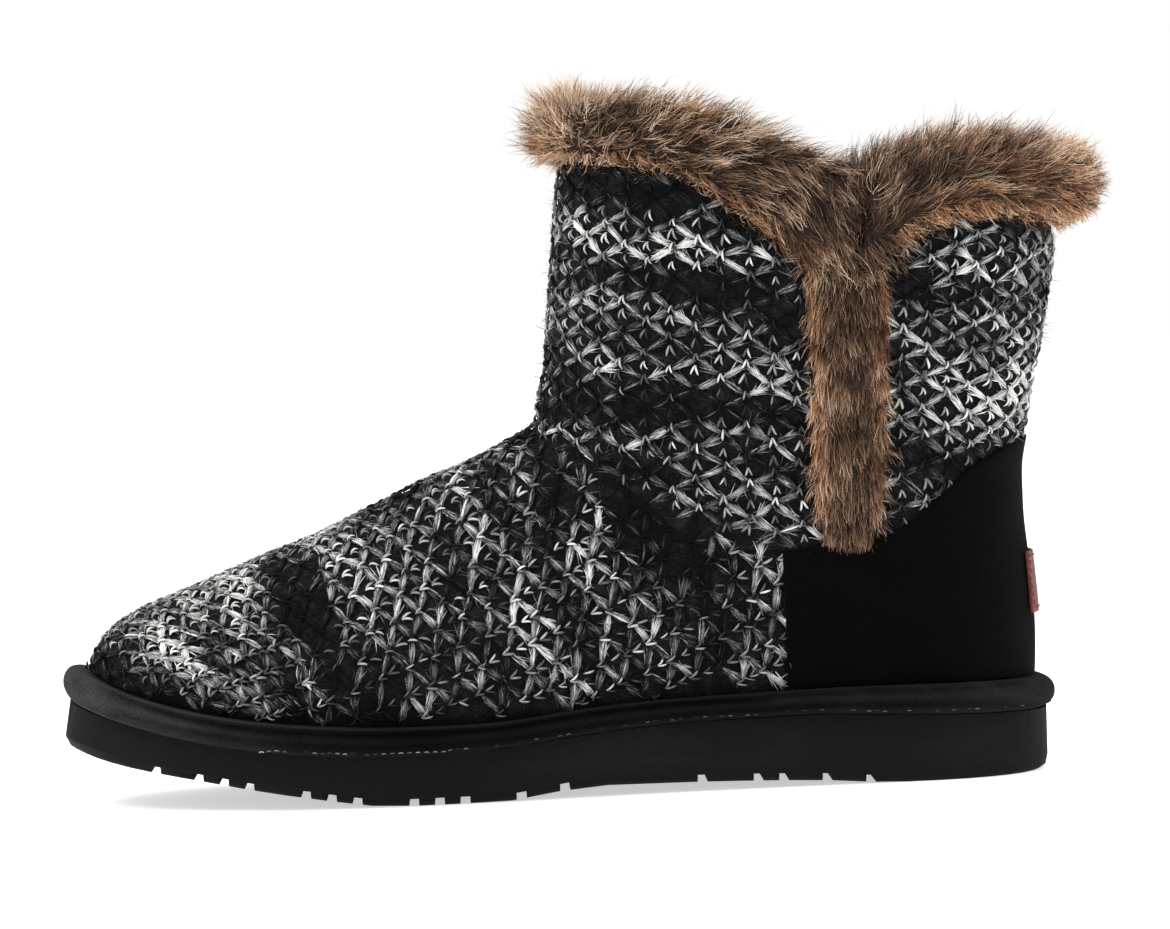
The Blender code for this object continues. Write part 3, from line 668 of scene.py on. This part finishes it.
def shaftRows(area, side):  # sections round the shaft, lined up at its side
    tilt, middle = math.radians(area["tilt"]), area["middle"]
    upWay = np.array((math.sin(tilt), 0, math.cos(tilt)))
    forward = Vector((-math.cos(tilt), 0, math.sin(tilt)))
    across = Vector((0, side, 0))
    rows, sideMark = {}, None
    angles = np.radians(np.arange(0, 180.1, 1.5))
    count = int(area["tall"] / (area["short"] / 2))
    for k in reversed(range(count)):  # from the collar down
        level = area["foot"] + k * area["short"] / 2
        height = (level - middle * upWay[0]) / upWay[2]
        spots, facings = castRow(Vector((middle, 0, height)), forward, across, angles)
        if len(spots) < 20:
            continue
        along = lengthAlong(spots)
        nearSeam = (np.abs(spots[:, 1]) < 0.02) * 1.0
        turned = int(np.argmin(np.abs(spots[:, 0] - middle) + nearSeam))
        if spots[0, 2] > area["ankleTop"] or sideMark is None:
            sideMark = along[turned]
        rows[k] = rowOf(spots, facings, sideMark - along[turned])
    return rows


def vampRows(area, side):  # leaning sections over the vamp that fan out round the toe
    tilt = math.radians(area["tilt"])
    upWay = Vector((-math.sin(tilt), 0, math.cos(tilt)))
    across = Vector((0, side, 0))
    frames = []  # section centre and the way up in it, from the heel to the toe
    hinge = Vector(area["hinge"])
    for x in np.arange(area["heelEnd"], area["hinge"][0], -0.0005):
        frames.append((Vector((x, 0, area["hinge"][2])), upWay))
    for degrees in np.arange(0, 66, 0.5):
        turn = tilt + math.radians(degrees)
        frames.append((hinge, Vector((-math.sin(turn), 0, math.cos(turn)))))
    ridge = []
    for centre, way in frames:
        hit = castIn(outerTree, centre, way, knitValues["castReach"])[0]
        ridge.append(tuple(hit) if hit else tuple(centre))
    ridge = np.array(ridge)
    toeFirst = lengthAlong(ridge[::-1])[::-1]
    angles = np.radians(np.arange(0, 100.1, 1.2))
    step = area["short"] / 2
    rows, marks = {}, []
    for k in range(int(toeFirst[0] / step)):
        spot = int(np.argmin(np.abs(toeFirst - k * step)))
        centre, way = frames[spot]
        if ridge[spot, 2] > area["ridgeTop"]:  # further back the rows follow at the same spacing
            break
        spots, facings = castRow(centre, way, across, angles)
        if len(spots) < 8:
            continue
        rows[k] = rowOf(spots, facings, 0.0)
        low = np.interp(-area["levelLine"], -spots[:, 2], rows[k]["along"])
        marks.append((k, low, centre.x))
    last = marks[-8:]
    slope = (last[-1][1] - last[0][1]) / (last[-1][0] - last[0][0])
    lastK, lastLow, lastX = marks[-1]
    for extra in range(1, 40):
        centre = Vector((lastX + extra * step / math.cos(tilt), 0, area["hinge"][2]))
        if centre.x > area["lastRow"]:
            break
        spots, facings = castRow(centre, upWay, across, angles)
        along = lengthAlong(spots)
        low = np.interp(-area["levelLine"], -spots[:, 2], along)
        rows[lastK + extra] = rowOf(spots, facings, lastLow + slope * extra - low)
    return rows


def toneAt(values, name, k, along, spots, side):  # black 0, white 1: noise with placed streaks
    area, reach = values[name], values["streakLong"]
    seed, pitch = area["seeds"][side], area["short"] / 2
    wide = softNoise(along / reach + seed, k * pitch / values["streakWide"] + seed * 3)
    fine = softNoise(along / (reach * 0.45) + 31 + seed, k * 0.9 + 17 + seed)
    tone = (wide * 0.6 + fine * 0.4 - 1 + values["whiteShare"]) * values["contrast"] + 0.5
    turn = math.radians(area["streakTurn"])
    for streak in np.array(values[name + "Streaks"]) / (1000, 1000, 1000, 1000, 100):
        x, z, reach, width, strength = streak
        right, up = spots[:, 0] - x, spots[:, 2] - z
        lengthwise = right * math.cos(turn) + up * math.sin(turn)
        crosswise = up * math.cos(turn) - right * math.sin(turn)
        share = np.exp(-(lengthwise / reach) ** 2 - (crosswise / width) ** 2)
        tone = tone + strength * share * (1.0 if side < 0 else 0.5)
    return tone


def latticeOf(values, name, rows, side):  # edges between the knots, and a loop above each knot
    area = values[name]
    half = area["long"] / 2
    knots = {}
    for k, row in rows.items():
        low, high = row["along"][0], row["along"][-1]
        index = np.arange(max(0, math.ceil(low / half)), int(high / half) + 1)
        if not len(index):
            continue
        spots, facings = pointsOn(row, index * half)
        wobble = dice.normal(0, values["jitter"], spots.shape)
        spots = spots + wobble - facings * np.einsum("ij,ij->i", wobble, facings)[:, None]
        tones = toneAt(values, name, k, index * half * side, spots, side)
        for i, place in enumerate(index):
            knots[(k, int(place))] = (spots[i], facings[i], tones[i])
    gap, hides, rowUp = values["seamGap"], values["hideReach"], area["rowUp"]
    edges, loops = [], []
    for (k, i), (spot, facing, tone) in knots.items():
        away = (spot[2] - seamHeight(spot[0])) * rowUp  # shaft above the seam, vamp below it
        above = knots.get((k + rowUp, i))
        if away > gap and not (i == 0 and side > 0) and above is not None:
            if not isCovered(spot, facing, hides):
                loops.append((spot, facing, above[0], tone))
        if (k + i) % 2:
            continue
        for step in (-1, 1):
            other = knots.get((k + 1, i + step))
            if other is None:
                continue
            middle = (spot + other[0]) / 2
            away = (middle[2] - seamHeight(middle[0])) * rowUp
            if away < gap or isCovered(middle, facing, hides):
                continue
            reach = np.linalg.norm(other[0] - spot)
            if area["short"] * 0.3 < reach < area["long"]:
                shade = (tone + other[2]) / 2 + dice.normal(0, 0.2)
                edges.append((spot, facing, other[0], other[1], shade))
    return edges, loops


def tubesAlong(paths, facings, radii, sides):
    count, steps = paths.shape[:2]
    ahead = unit(np.gradient(paths, axis=1))
    across = unit(np.cross(facings, ahead))
    upright = unit(np.cross(ahead, across))
    turns = np.arange(sides) * 2 * np.pi / sides + np.pi / 4
    ring = (across[:, :, None, :] * np.cos(turns)[None, None, :, None]
            + upright[:, :, None, :] * np.sin(turns)[None, None, :, None])
    points = paths[:, :, None, :] + ring * radii[:, :, None, None]
    base = np.arange(count * steps * sides).reshape(count, steps, sides)
    nextRound = np.roll(base, -1, axis=2)
    faces = np.stack([base[:, :-1], nextRound[:, :-1], nextRound[:, 1:], base[:, 1:]], axis=-1)
    return points.reshape(-1, 3), faces.reshape(-1, 4)


def ribbonsAlong(paths, across, widths):
    count, steps = paths.shape[:2]
    reach = across * widths[:, :, None]
    points = np.stack([paths - reach, paths + reach], axis=2)
    base = np.arange(count * steps * 2).reshape(count, steps, 2)
    faces = np.stack([base[:, :-1, 0], base[:, :-1, 1], base[:, 1:, 1], base[:, 1:, 0]], axis=-1)
    return points.reshape(-1, 3), faces.reshape(-1, 4)


def joined(parts):
    points, faces, tones = zip(*parts)
    starts = np.cumsum([0] + [len(some) for some in points])
    faces = [some + start for some, start in zip(faces, starts)]
    return [np.concatenate(some) for some in (points, faces, tones)]


def alongEdges(start, startFace, end, endFace, t):  # facings, places and the way across
    facings = unit(startFace[:, None] * (1 - t) + endFace[:, None] * t)
    line = start[:, None] * (1 - t) + end[:, None] * t
    return facings, line, unit(np.cross(facings, (end - start)[:, None]))


def edgeStrands(values, edges):
    *ends, tone = columns(edges)
    t = np.linspace(0.03, 0.97, 6)[None, :, None]
    facings, line, across = alongEdges(*ends, t)
    arch = np.sin(np.pi * t)
    parts = []
    for way in (-1, 0.1, 1):  # two bowed strands and one between them
        bow = values["bow"] * dice.uniform(0.6, 1.25, (len(edges), 1, 1))
        lift = values["lift"] * dice.uniform(0.55, 1.2, (len(edges), 1, 1))
        lift = lift * (1.25 - 0.3 * abs(way))
        path = line + across * way * bow * arch ** 0.8
        path = path + facings * (values["rootLift"] + lift * arch ** 0.7)
        radii = values["strandRadius"] * dice.uniform(0.8, 1.15, (len(edges), 1))
        radii = radii * (0.55 + 0.5 * arch[0, :, 0] ** 0.6)[None]
        sunk = values["knotShade"] * (1 - arch[0, :, 0] ** 0.8)  # darker where it sinks into a knot
        shade = (tone + values["strandTone"] + dice.normal(0, 0.24, len(edges)))[:, None] - sunk
        parts.append((*tubesAlong(path, facings, radii, 3), np.repeat(shade.ravel(), 3)))
    return parts


def edgeFibres(values, edges):
    number = len(edges) * values["fibresEach"]
    *ends, tone = columns(edges, dice.integers(0, len(edges), number))
    t = np.linspace(0, 1, 3)[None, :, None]
    t = dice.uniform(-0.05, 0.35, (number, 1, 1)) + t * dice.uniform(0.45, 0.8, (number, 1, 1))
    facings, line, across = alongEdges(*ends, t)
    arch = np.sin(np.pi * np.clip(t, 0, 1))
    fan = dice.normal(0, 1, (number, 1, 1)) * values["fanWide"]
    drift = dice.normal(0, values["fanDrift"], (number, 1, 1))
    drift = drift * np.linspace(-1, 1, 3)[None, :, None]
    path = line + across * (fan * np.clip(t, 0, 1) ** 1.2 + drift)
    lift = values["lift"] * arch * dice.uniform(0.4, 1.7, (number, 1, 1))
    path = path + facings * (values["fibreLift"] + lift)
    widths = np.array([0.00004, 0.00011, 0.00003])[None] * dice.uniform(0.8, 1.8, (number, 1))
    sunk = values["knotShade"] * (1 - arch[:, :, 0]) * 0.7
    shade = (tone + dice.normal(0, 0.22, number))[:, None] - sunk
    return *ribbonsAlong(path, across, widths), np.repeat(shade.ravel(), 2)


def loopStrokes(values, loops):
    spot, facing, above, tone = columns(loops)
    up = unit(above - spot)
    across = unit(np.cross(facing, up))
    steps = 5
    t = np.linspace(0, 1, steps)[None, :, None]
    scale = dice.uniform(0.8, 1.15, (len(loops), 1, 1))
    parts = []
    for way in (-1, 1):
        tip = values["loopTall"] * scale * (0.55 - 1.0 * t)
        wide = values["loopWide"] / 2 * scale * (0.10 + 0.9 * t ** 1.15)
        path = spot[:, None] + up[:, None] * tip + across[:, None] * way * wide
        path = path + facing[:, None] * (values["loopLift"] * (0.45 + np.sin(np.pi * t) ** 0.7))
        swell = 0.45 + 0.6 * np.sin(np.pi * t[0, :, 0]) ** 0.6
        radii = values["loopRadius"] * scale[:, :, 0] * swell[None]
        facings = np.repeat(facing[:, None], steps, axis=1)
        shade = tone + values["loopTone"] + dice.normal(0, 0.28, len(loops))
        parts.append((*tubesAlong(path, facings, radii, 3), np.repeat(shade, steps * 3)))
    return parts


def haloFibres(values, edges):
    number = len(edges) * values["haloEach"]
    picks = dice.integers(0, len(edges), number)
    start, startFace, end, endFace, tone = columns(edges, picks)
    share = dice.random((number, 1))
    root = start * (1 - share) + end * share + startFace * values["haloFrom"]
    loose = unit(dice.normal(0, 1, (number, 3)))
    ways = unit(startFace * dice.uniform(0.1, 0.8, (number, 1)) + loose * 0.9)
    bends = unit(ways + unit(dice.normal(0, 1, (number, 3))) * 0.9)
    reach = values["haloLong"] * dice.uniform(0.35, 1.0, (number, 1, 1))
    t = np.linspace(0, 1, 3)[None, :, None]
    path = root[:, None] + reach * (ways[:, None] * t + (bends - ways)[:, None] * t ** 2 * 0.6)
    across = np.repeat(unit(np.cross(ways, startFace + loose * 0.3))[:, None], 3, axis=1)
    widths = np.array([0.00006, 0.00006, 0.00002])[None] * dice.uniform(0.7, 1.3, (number, 1))
    shade = tone * 0.8 + dice.normal(0, 0.2, number)
    return *ribbonsAlong(path, across, widths), np.repeat(shade, 6)


def knitPiece(name, values, edges, loops):
    parts = edgeStrands(values, edges) + loopStrokes(values, loops)
    parts += [edgeFibres(values, edges), haloFibres(values, edges)]
    points, faces, tones = joined(parts)
    quadPiece(name, points, faces, materials["yarn"], {"yarnTone": tones})
    print(name + ":", len(edges), "strand bundles,", len(faces) * 2, "triangles")


for side, sideName in ((-1, "Outer"), (1, "Inner")):
    for name, rowsOf in (("shaft", shaftRows), ("vamp", vampRows)):
        edges, loops = latticeOf(knitValues, name, rowsOf(knitValues[name], side), side)
        knitPiece(name + "Knit" + sideName, knitValues, edges, loops)


# fur of the collar and the side strips

furValues = {
    "shaftMiddle": (-0.024, 0.0),
    "stripMiddle": -0.018,
    "pileBack": 0.0030, "pileShare": 0.3,  # how far the pile stands back under the hair
    "collar_fur_front": {"hairs": 26500, "long": 0.0092, "lift": 0.46},
    "collar_fur_back": {"hairs": 24000, "long": 0.0092, "lift": 0.46},
    "side_fur_lateral": {"hairs": 12500, "long": 0.0076, "lift": 0.36},
    "side_fur_medial": {"hairs": 10500, "long": 0.0076, "lift": 0.36},
    "depthFrom": 0.0003, "depthReach": 0.05,  # the ray that measures how thick the pile is
    "rootReach": 0.0025,  # no hair starts as near as this to the upper
    "rootDepth": 0.0006, "wander": 0.19, "guardShare": 0.08, "guardLonger": 1.15,
    "clumpHairs": 16, "clumpPull": 0.32, "clumpSwirl": 0.30, "clumpReach": 0.004,
    "width": 0.000072, "taper": (1.0, 0.95, 0.65, 0.15),
    "stripHalf": 0.0105, "footOver": 0.0042, "footRound": 0.0032,
    "frontEnd": (-0.098, -0.078), "dipEnd": (-0.056, -0.016),  # x where the lie of the pile changes
    "backEnd": (-0.014, 0.050),
}


def surfaceSamples(mesh, number):
    mesh.calc_loop_triangles()
    corners = np.array([tuple(t.vertices) for t in mesh.loop_triangles])
    coords, normals = coordsOf(mesh), normalsOf(mesh)
    a, b, c = (coords[corners[:, i]] for i in range(3))
    areas = np.linalg.norm(np.cross(b - a, c - a), axis=1)
    picks = dice.choice(len(corners), number, p=areas / areas.sum())
    u, v = dice.random(number), dice.random(number)
    fold = u + v > 1
    u[fold], v[fold] = 1 - u[fold], 1 - v[fold]
    weights = np.stack([1 - u - v, u, v], 1)[:, :, None]
    spots = (coords[corners[picks]] * weights).sum(1)
    facings = unit((normals[corners[picks]] * weights).sum(1))
    return spots, facings


def furFlow(node, spots, facings, values):
    x, tilt = spots[:, 0], facings[:, 2]
    radial = unit(spots[:, :2] - np.array(values["shaftMiddle"]))
    around = np.stack([-radial[:, 1], radial[:, 0], np.zeros(len(spots))], 1)
    around *= np.where(around[:, :1] < 0, -1, 1)
    outward = np.concatenate([radial, np.zeros((len(spots), 1))], axis=1)
    rise = np.zeros((len(spots), 3))
    rise[:, 2] = 1.0
    if node.startswith("side"):
        fan = (x - x.mean()) / 0.011
        sway = around * (0.16 * fan)[:, None]
        return unit(sway - rise)
    if node.endswith("front"):
        forward = (1 - between(x, *values["frontEnd"]))[:, None]
        dip = between(x, *values["dipEnd"])[:, None]
        slope = (0.18 + 0.42 * tilt)[:, None] - 0.55 * dip
        flow = around * (1 - 1.25 * forward) + outward * forward * 0.8 + rise * slope
        down = dip * (tilt < 0.8)[:, None]
        flow = unit(flow) * (1 - 0.55 * down) - rise * down * 0.8
    else:
        share = between(x, *values["backEnd"])[:, None]
        slope = 0.5 - 0.45 * share + (0.45 * tilt)[:, None]
        flow = around * (0.15 + 0.85 * share) + outward * share * 0.35 + rise * slope
    under = between(-tilt, 0.1, 0.8)[:, None]
    top = between(tilt, 0.2, 0.9)[:, None]
    return unit(flow - rise * under * 0.35 + top * np.array([[0.35, 0.0, 0.5]]))


def makeFurBody(node, values):
    mesh = refined(weldedMesh(node, joins=False), 1)
    coords, normals = coordsOf(mesh), normalsOf(mesh)
    tree = treeOf(mesh)
    depth = []
    for spot, facing in zip(coords, normals):
        inward = -Vector(facing)
        start = Vector(spot) + inward * values["depthFrom"]
        depth.append(tree.ray_cast(start, inward, values["depthReach"])[3] or 0.0)
    back = np.minimum(values["pileBack"], np.array(depth) * values["pileShare"])
    setCoords(mesh, coords - normals * back[:, None])
    mesh.materials.append(materials["furGround"])
    return linkPiece(node + "_pile", mesh, [node])


def hairTones(node, values, spots, tone, under, nearStrip):
    x, number = spots[:, 0], len(spots)
    low, high = x.min(), x.max()
    if node.startswith("side"):
        middle = np.abs(x - (low + high) / 2) / ((high - low) / 2)
        tone = tone - 0.17 + 0.27 * between(middle, 0.25, 1.0)
        foot = between(spots[:, 2], 0.066, 0.082)
        tone = tone + 0.14 * (1 - foot)
        warmth = 0.12 + 0.75 * between(middle, 0.4, 1.0) * foot + dice.normal(0, 0.15, number)
        return tone, warmth
    if node.endswith("front"):
        end, dip = 1 - between(x, low + 0.004, low + 0.024), between(x, *values["dipEnd"])
        endTone, underWarmth = 0.26, 0.9
    else:
        end, dip = between(x, high - 0.022, high - 0.004), 0.7
        endTone, underWarmth = 0.14, 0.7
    tone = tone + endTone * end + 0.06 - 0.18 * dip
    warmth = under * underWarmth * (1 - nearStrip) + end * 0.2 + 0.04
    warmth = warmth + dice.normal(0, 0.13, number)
    blotch = softNoise(x * 90 + 40, spots[:, 2] * 110)
    return tone, warmth + 0.35 * between(blotch, 0.6, 0.9)


def growHair(node, values, bodyMesh):
    wanted = values[node]
    spots, facings = surfaceSamples(bodyMesh, wanted["hairs"])
    hits = [outerTree.ray_cast(Vector(spot), Vector(facing), values["rootReach"])[0]
            for spot, facing in zip(spots, facings)]
    kept = np.array([hit is None for hit in hits])
    spots, facings = spots[kept], facings[kept]
    number = len(spots)
    seeds = dice.choice(number, max(20, int(number / values["clumpHairs"])), replace=False)
    tree = KDTree(len(seeds))
    for i, seed in enumerate(seeds):
        tree.insert(spots[seed], i)
    tree.balance()
    owner = np.array([tree.find(spot)[1] for spot in spots])
    clumpTone = dice.random(len(seeds))
    swirl = unit(dice.normal(0, 1, (len(seeds), 3)))[owner] * values["clumpSwirl"]
    isStrip = node.startswith("side")
    flow = furFlow(node, spots, facings, values) + swirl * (0.7 if isStrip else 1.0)
    flow = flow + dice.normal(0, values["wander"], (number, 3))
    flow = unit(flow - facings * np.einsum("ij,ij->i", flow, facings)[:, None] * 0.8)
    under = between(-facings[:, 2], 0.05, 0.8)
    nearStrip = 1 - between(np.abs(spots[:, 0] - values["stripMiddle"]), 0.010, 0.020)
    lengths = wanted["long"] * dice.uniform(0.45, 1.12, number)
    lengths = lengths * (1 - 0.4 * under * (1 - nearStrip))
    guard = dice.random(number) < values["guardShare"]
    lengths = lengths * np.where(guard, values["guardLonger"], 1.0)
    lift = wanted["lift"] * dice.uniform(0.55, 1.3, number)
    if isStrip:  # the strip ends in a rounded foot
        fromMiddle = np.abs(spots[:, 0] - spots[:, 0].mean()) / values["stripHalf"]
        overhang = values["footOver"] - values["footRound"] * np.clip(fromMiddle, 0, 1) ** 2
        lengths = np.minimum(lengths, (spots[:, 2] - spots[:, 2].min()) * 0.9 + overhang)
        lift = lift * (1 - 0.75 * np.abs(facings[:, 0]))
    tips = spots + (facings * lift[:, None] + flow * 0.85) * lengths[:, None]
    towards = tips[seeds[owner]] - tips
    reach = np.linalg.norm(towards, axis=1, keepdims=True)
    towards = towards * np.minimum(1.0, values["clumpReach"] / np.maximum(reach, 1e-6))
    tips = tips + towards * values["clumpPull"] * dice.uniform(0.4, 1.0, (number, 1))
    bend = spots + facings * (lengths * lift * 1.15)[:, None] + flow * (lengths * 0.3)[:, None]
    steps = len(values["taper"])
    t = np.linspace(0, 1, steps)[None, :, None]
    root = spots - facings * values["rootDepth"]
    path = root[:, None] * (1 - t) ** 2 + bend[:, None] * 2 * t * (1 - t) + tips[:, None] * t ** 2
    ahead = unit(np.gradient(path, axis=1))
    tilt = unit(facings + dice.normal(0, 0.45, (number, 3)))
    across = unit(np.cross(ahead, tilt[:, None]))
    widths = np.array(values["taper"])[None] * values["width"]
    widths = widths * dice.uniform(0.7, 1.5, (number, 1))
    points, faces = ribbonsAlong(path, across, widths)
    patch = softNoise(spots[:, 0] * 120, spots[:, 2] * 150 + spots[:, 1] * 90)
    # painted highlight: hairs on the top of the roll are made paler, those on its underside less so
    rimHighlight = between(np.abs(facings[:, 2]), 0.2, 0.9)
    tone = 0.40 * clumpTone[owner] + 0.52 * patch + 0.50 * dice.random(number) - 0.20
    tone = tone + rimHighlight * np.where(facings[:, 2] > 0, 0.40, 0.20) + guard * 0.2
    tone, warmth = hairTones(node, values, spots, tone, under, nearStrip)
    along = np.tile(np.repeat(np.linspace(0, 1, steps), 2), number)
    tones = {"hairTone": np.repeat(tone, steps * 2), "hairAlong": along,
             "hairWarmth": np.repeat(np.clip(warmth, 0, 1), steps * 2)}
    quadPiece(node + "_hair", points, faces, materials["fur"], tones)
    print(node + ":", number, "hairs,", len(faces) * 2, "triangles")


for node in ("collar_fur_front", "collar_fur_back", "side_fur_lateral", "side_fur_medial"):
    furBody = makeFurBody(node, furValues)
    growHair(node, furValues, furBody.data)


# sole, rand, counter, insole and patch

solidValues = {  # piece, material, slot, levels, degrees from which an edge stays sharp
    "heel_counter": ("heelCounterSuede", "counter", "suede", 2, 50),
    "rand": ("randRoll", "rand", "suede", 2, 60),
    "insole": ("insoleFelt", "felt", "felt", 2, 50),
    "heel_patch": ("heelPatchLeather", "patch", "patch", 2, 40),
}

for node, (name, material, slot, levels, sharp) in solidValues.items():
    mesh = refined(weldedMesh(node), levels, sharp)
    mesh.materials.append(materials[material])
    linkPiece(name, mesh, [node])
    print(name + ":", len(mesh.polygons), "faces")


outsoleValues = {"flatDegrees": 1.0, "sharpDegrees": 38}


def makeOutsole(values):
    mesh = weldedMesh("outsole", joins=False)
    bm = bmesh.new()
    bm.from_mesh(mesh)
    flat = math.radians(values["flatDegrees"])
    bmesh.ops.dissolve_limit(bm, angle_limit=flat, verts=bm.verts, edges=bm.edges)
    bm.to_mesh(mesh)
    bm.free()
    mesh.materials.append(materials["foam"])
    mesh.shade_smooth()
    mesh.set_sharp_from_angle(angle=math.radians(values["sharpDegrees"]))
    linkPiece("outsoleFoam", mesh, ["outsole"])


makeOutsole(outsoleValues)
print("sole pieces made")

stitchValues = {
    "sole": {"pitch": 0.0023, "long": 0.0014, "radius": 0.00015, "above": 0.0008,
             "toe": -0.175, "heel": 0.0, "step": 0.003, "turnDegrees": 4,
             "search": (0.010, 0.040, 0.0004),  # heights where the rand's foot is looked for
             "paleOn": (-0.203, -0.122)},  # outer side, where the thread catches the light
    "patch": {"pitch": 0.0022, "long": 0.0015, "radius": 0.00018, "inset": 0.0013, "samples": 12},
    "rise": (-1.0, 0.6, 1.0, 1.0, 0.6, -1.0), "taper": (0.6, 1.0, 1.0, 1.0, 1.0, 0.6),
    "castReach": 0.2,
}


def spaced(hits, pitch):  # even places along a line of ray hits
    row = rowOf(*columns(hits), 0.0)
    return pointsOn(row, np.arange(pitch / 2, row["along"][-1], pitch))


def stitchPiece(name, spots, facings, size, material, tones):
    ahead = unit(np.gradient(spots, axis=0))
    rise, taper = (np.array(stitchValues[key]) * size["radius"] for key in ("rise", "taper"))
    steps, sides = len(rise), 6
    t = np.linspace(-0.5, 0.5, steps)
    path = spots[:, None] + ahead[:, None] * (t * size["long"])[None, :, None]
    path = path + facings[:, None] * rise[None, :, None]
    radii = np.tile(taper, (len(spots), 1))
    points, faces = tubesAlong(path, np.repeat(facings[:, None], steps, axis=1), radii, sides)
    shades = {"threadTone": np.repeat(tones, steps * sides)}
    quadPiece(name, points, faces, materials[material], shades)
    print(name + ":", len(spots), "stitches")


def soleStations(size):  # x and the way out, once round the sole
    stations = []
    toe, heel = size["toe"], size["heel"]
    for first, side, here, there in ((-90, 1, heel, toe), (90, -1, toe, heel)):
        for degrees in range(first, first + 181, size["turnDegrees"]):
            turn = math.radians(degrees)
            stations.append((here, Vector((math.cos(turn), math.sin(turn), 0))))
        step = -size["step"] * side
        stations += [(x, Vector((0, side, 0))) for x in np.arange(here + step, there, step)]
    return stations


def makeSoleStitches(randMesh):
    tree, reach = treeOf(randMesh), stitchValues["castReach"]
    size, hits = stitchValues["sole"], []
    for x, way in soleStations(size):
        for z in np.arange(*size["search"]):
            if castIn(tree, Vector((x, 0, z)), way, reach)[0] is not None:
                break
        hits.append(castIn(tree, Vector((x, 0, z + size["above"])), way, reach))
    spots, facings = spaced(hits, size["pitch"])
    low, high = size["paleOn"]
    isPale = (spots[:, 1] < 0) & (spots[:, 0] > low) & (spots[:, 0] < high)
    pale = dice.uniform(-0.2, 0.95, len(spots))
    tones = np.where(isPale, pale, dice.uniform(-0.5, 0.34, len(spots)))
    stitchPiece("soleStitches", spots, facings, size, "soleThread", tones)


def makePatchStitches(patchMesh):
    tree, reach = treeOf(patchMesh), stitchValues["castReach"]
    size, hits = stitchValues["patch"], []
    low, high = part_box("heel_patch")
    wide, foot, head = high[1] - size["inset"], low[2] + size["inset"], high[2] - size["inset"]
    corners = [(-wide, foot), (wide, foot), (wide, head), (-wide, head), (-wide, foot)]
    for start, end in zip(corners, corners[1:]):
        for share in np.linspace(0, 1, size["samples"], endpoint=False):
            y, z = (a + (b - a) * share for a, b in zip(start, end))
            hits.append(castIn(tree, Vector((0, y, z)), Vector((1, 0, 0)), reach))
    spots, facings = spaced([hit for hit in hits if hit[0] is not None], size["pitch"])
    tones = dice.uniform(0.1, 0.7, len(spots))
    stitchPiece("patchStitches", spots, facings, size, "patchThread", tones)


makeSoleStitches(bpy.data.objects["randRoll"].data)
makePatchStitches(bpy.data.objects["heelPatchLeather"].data)
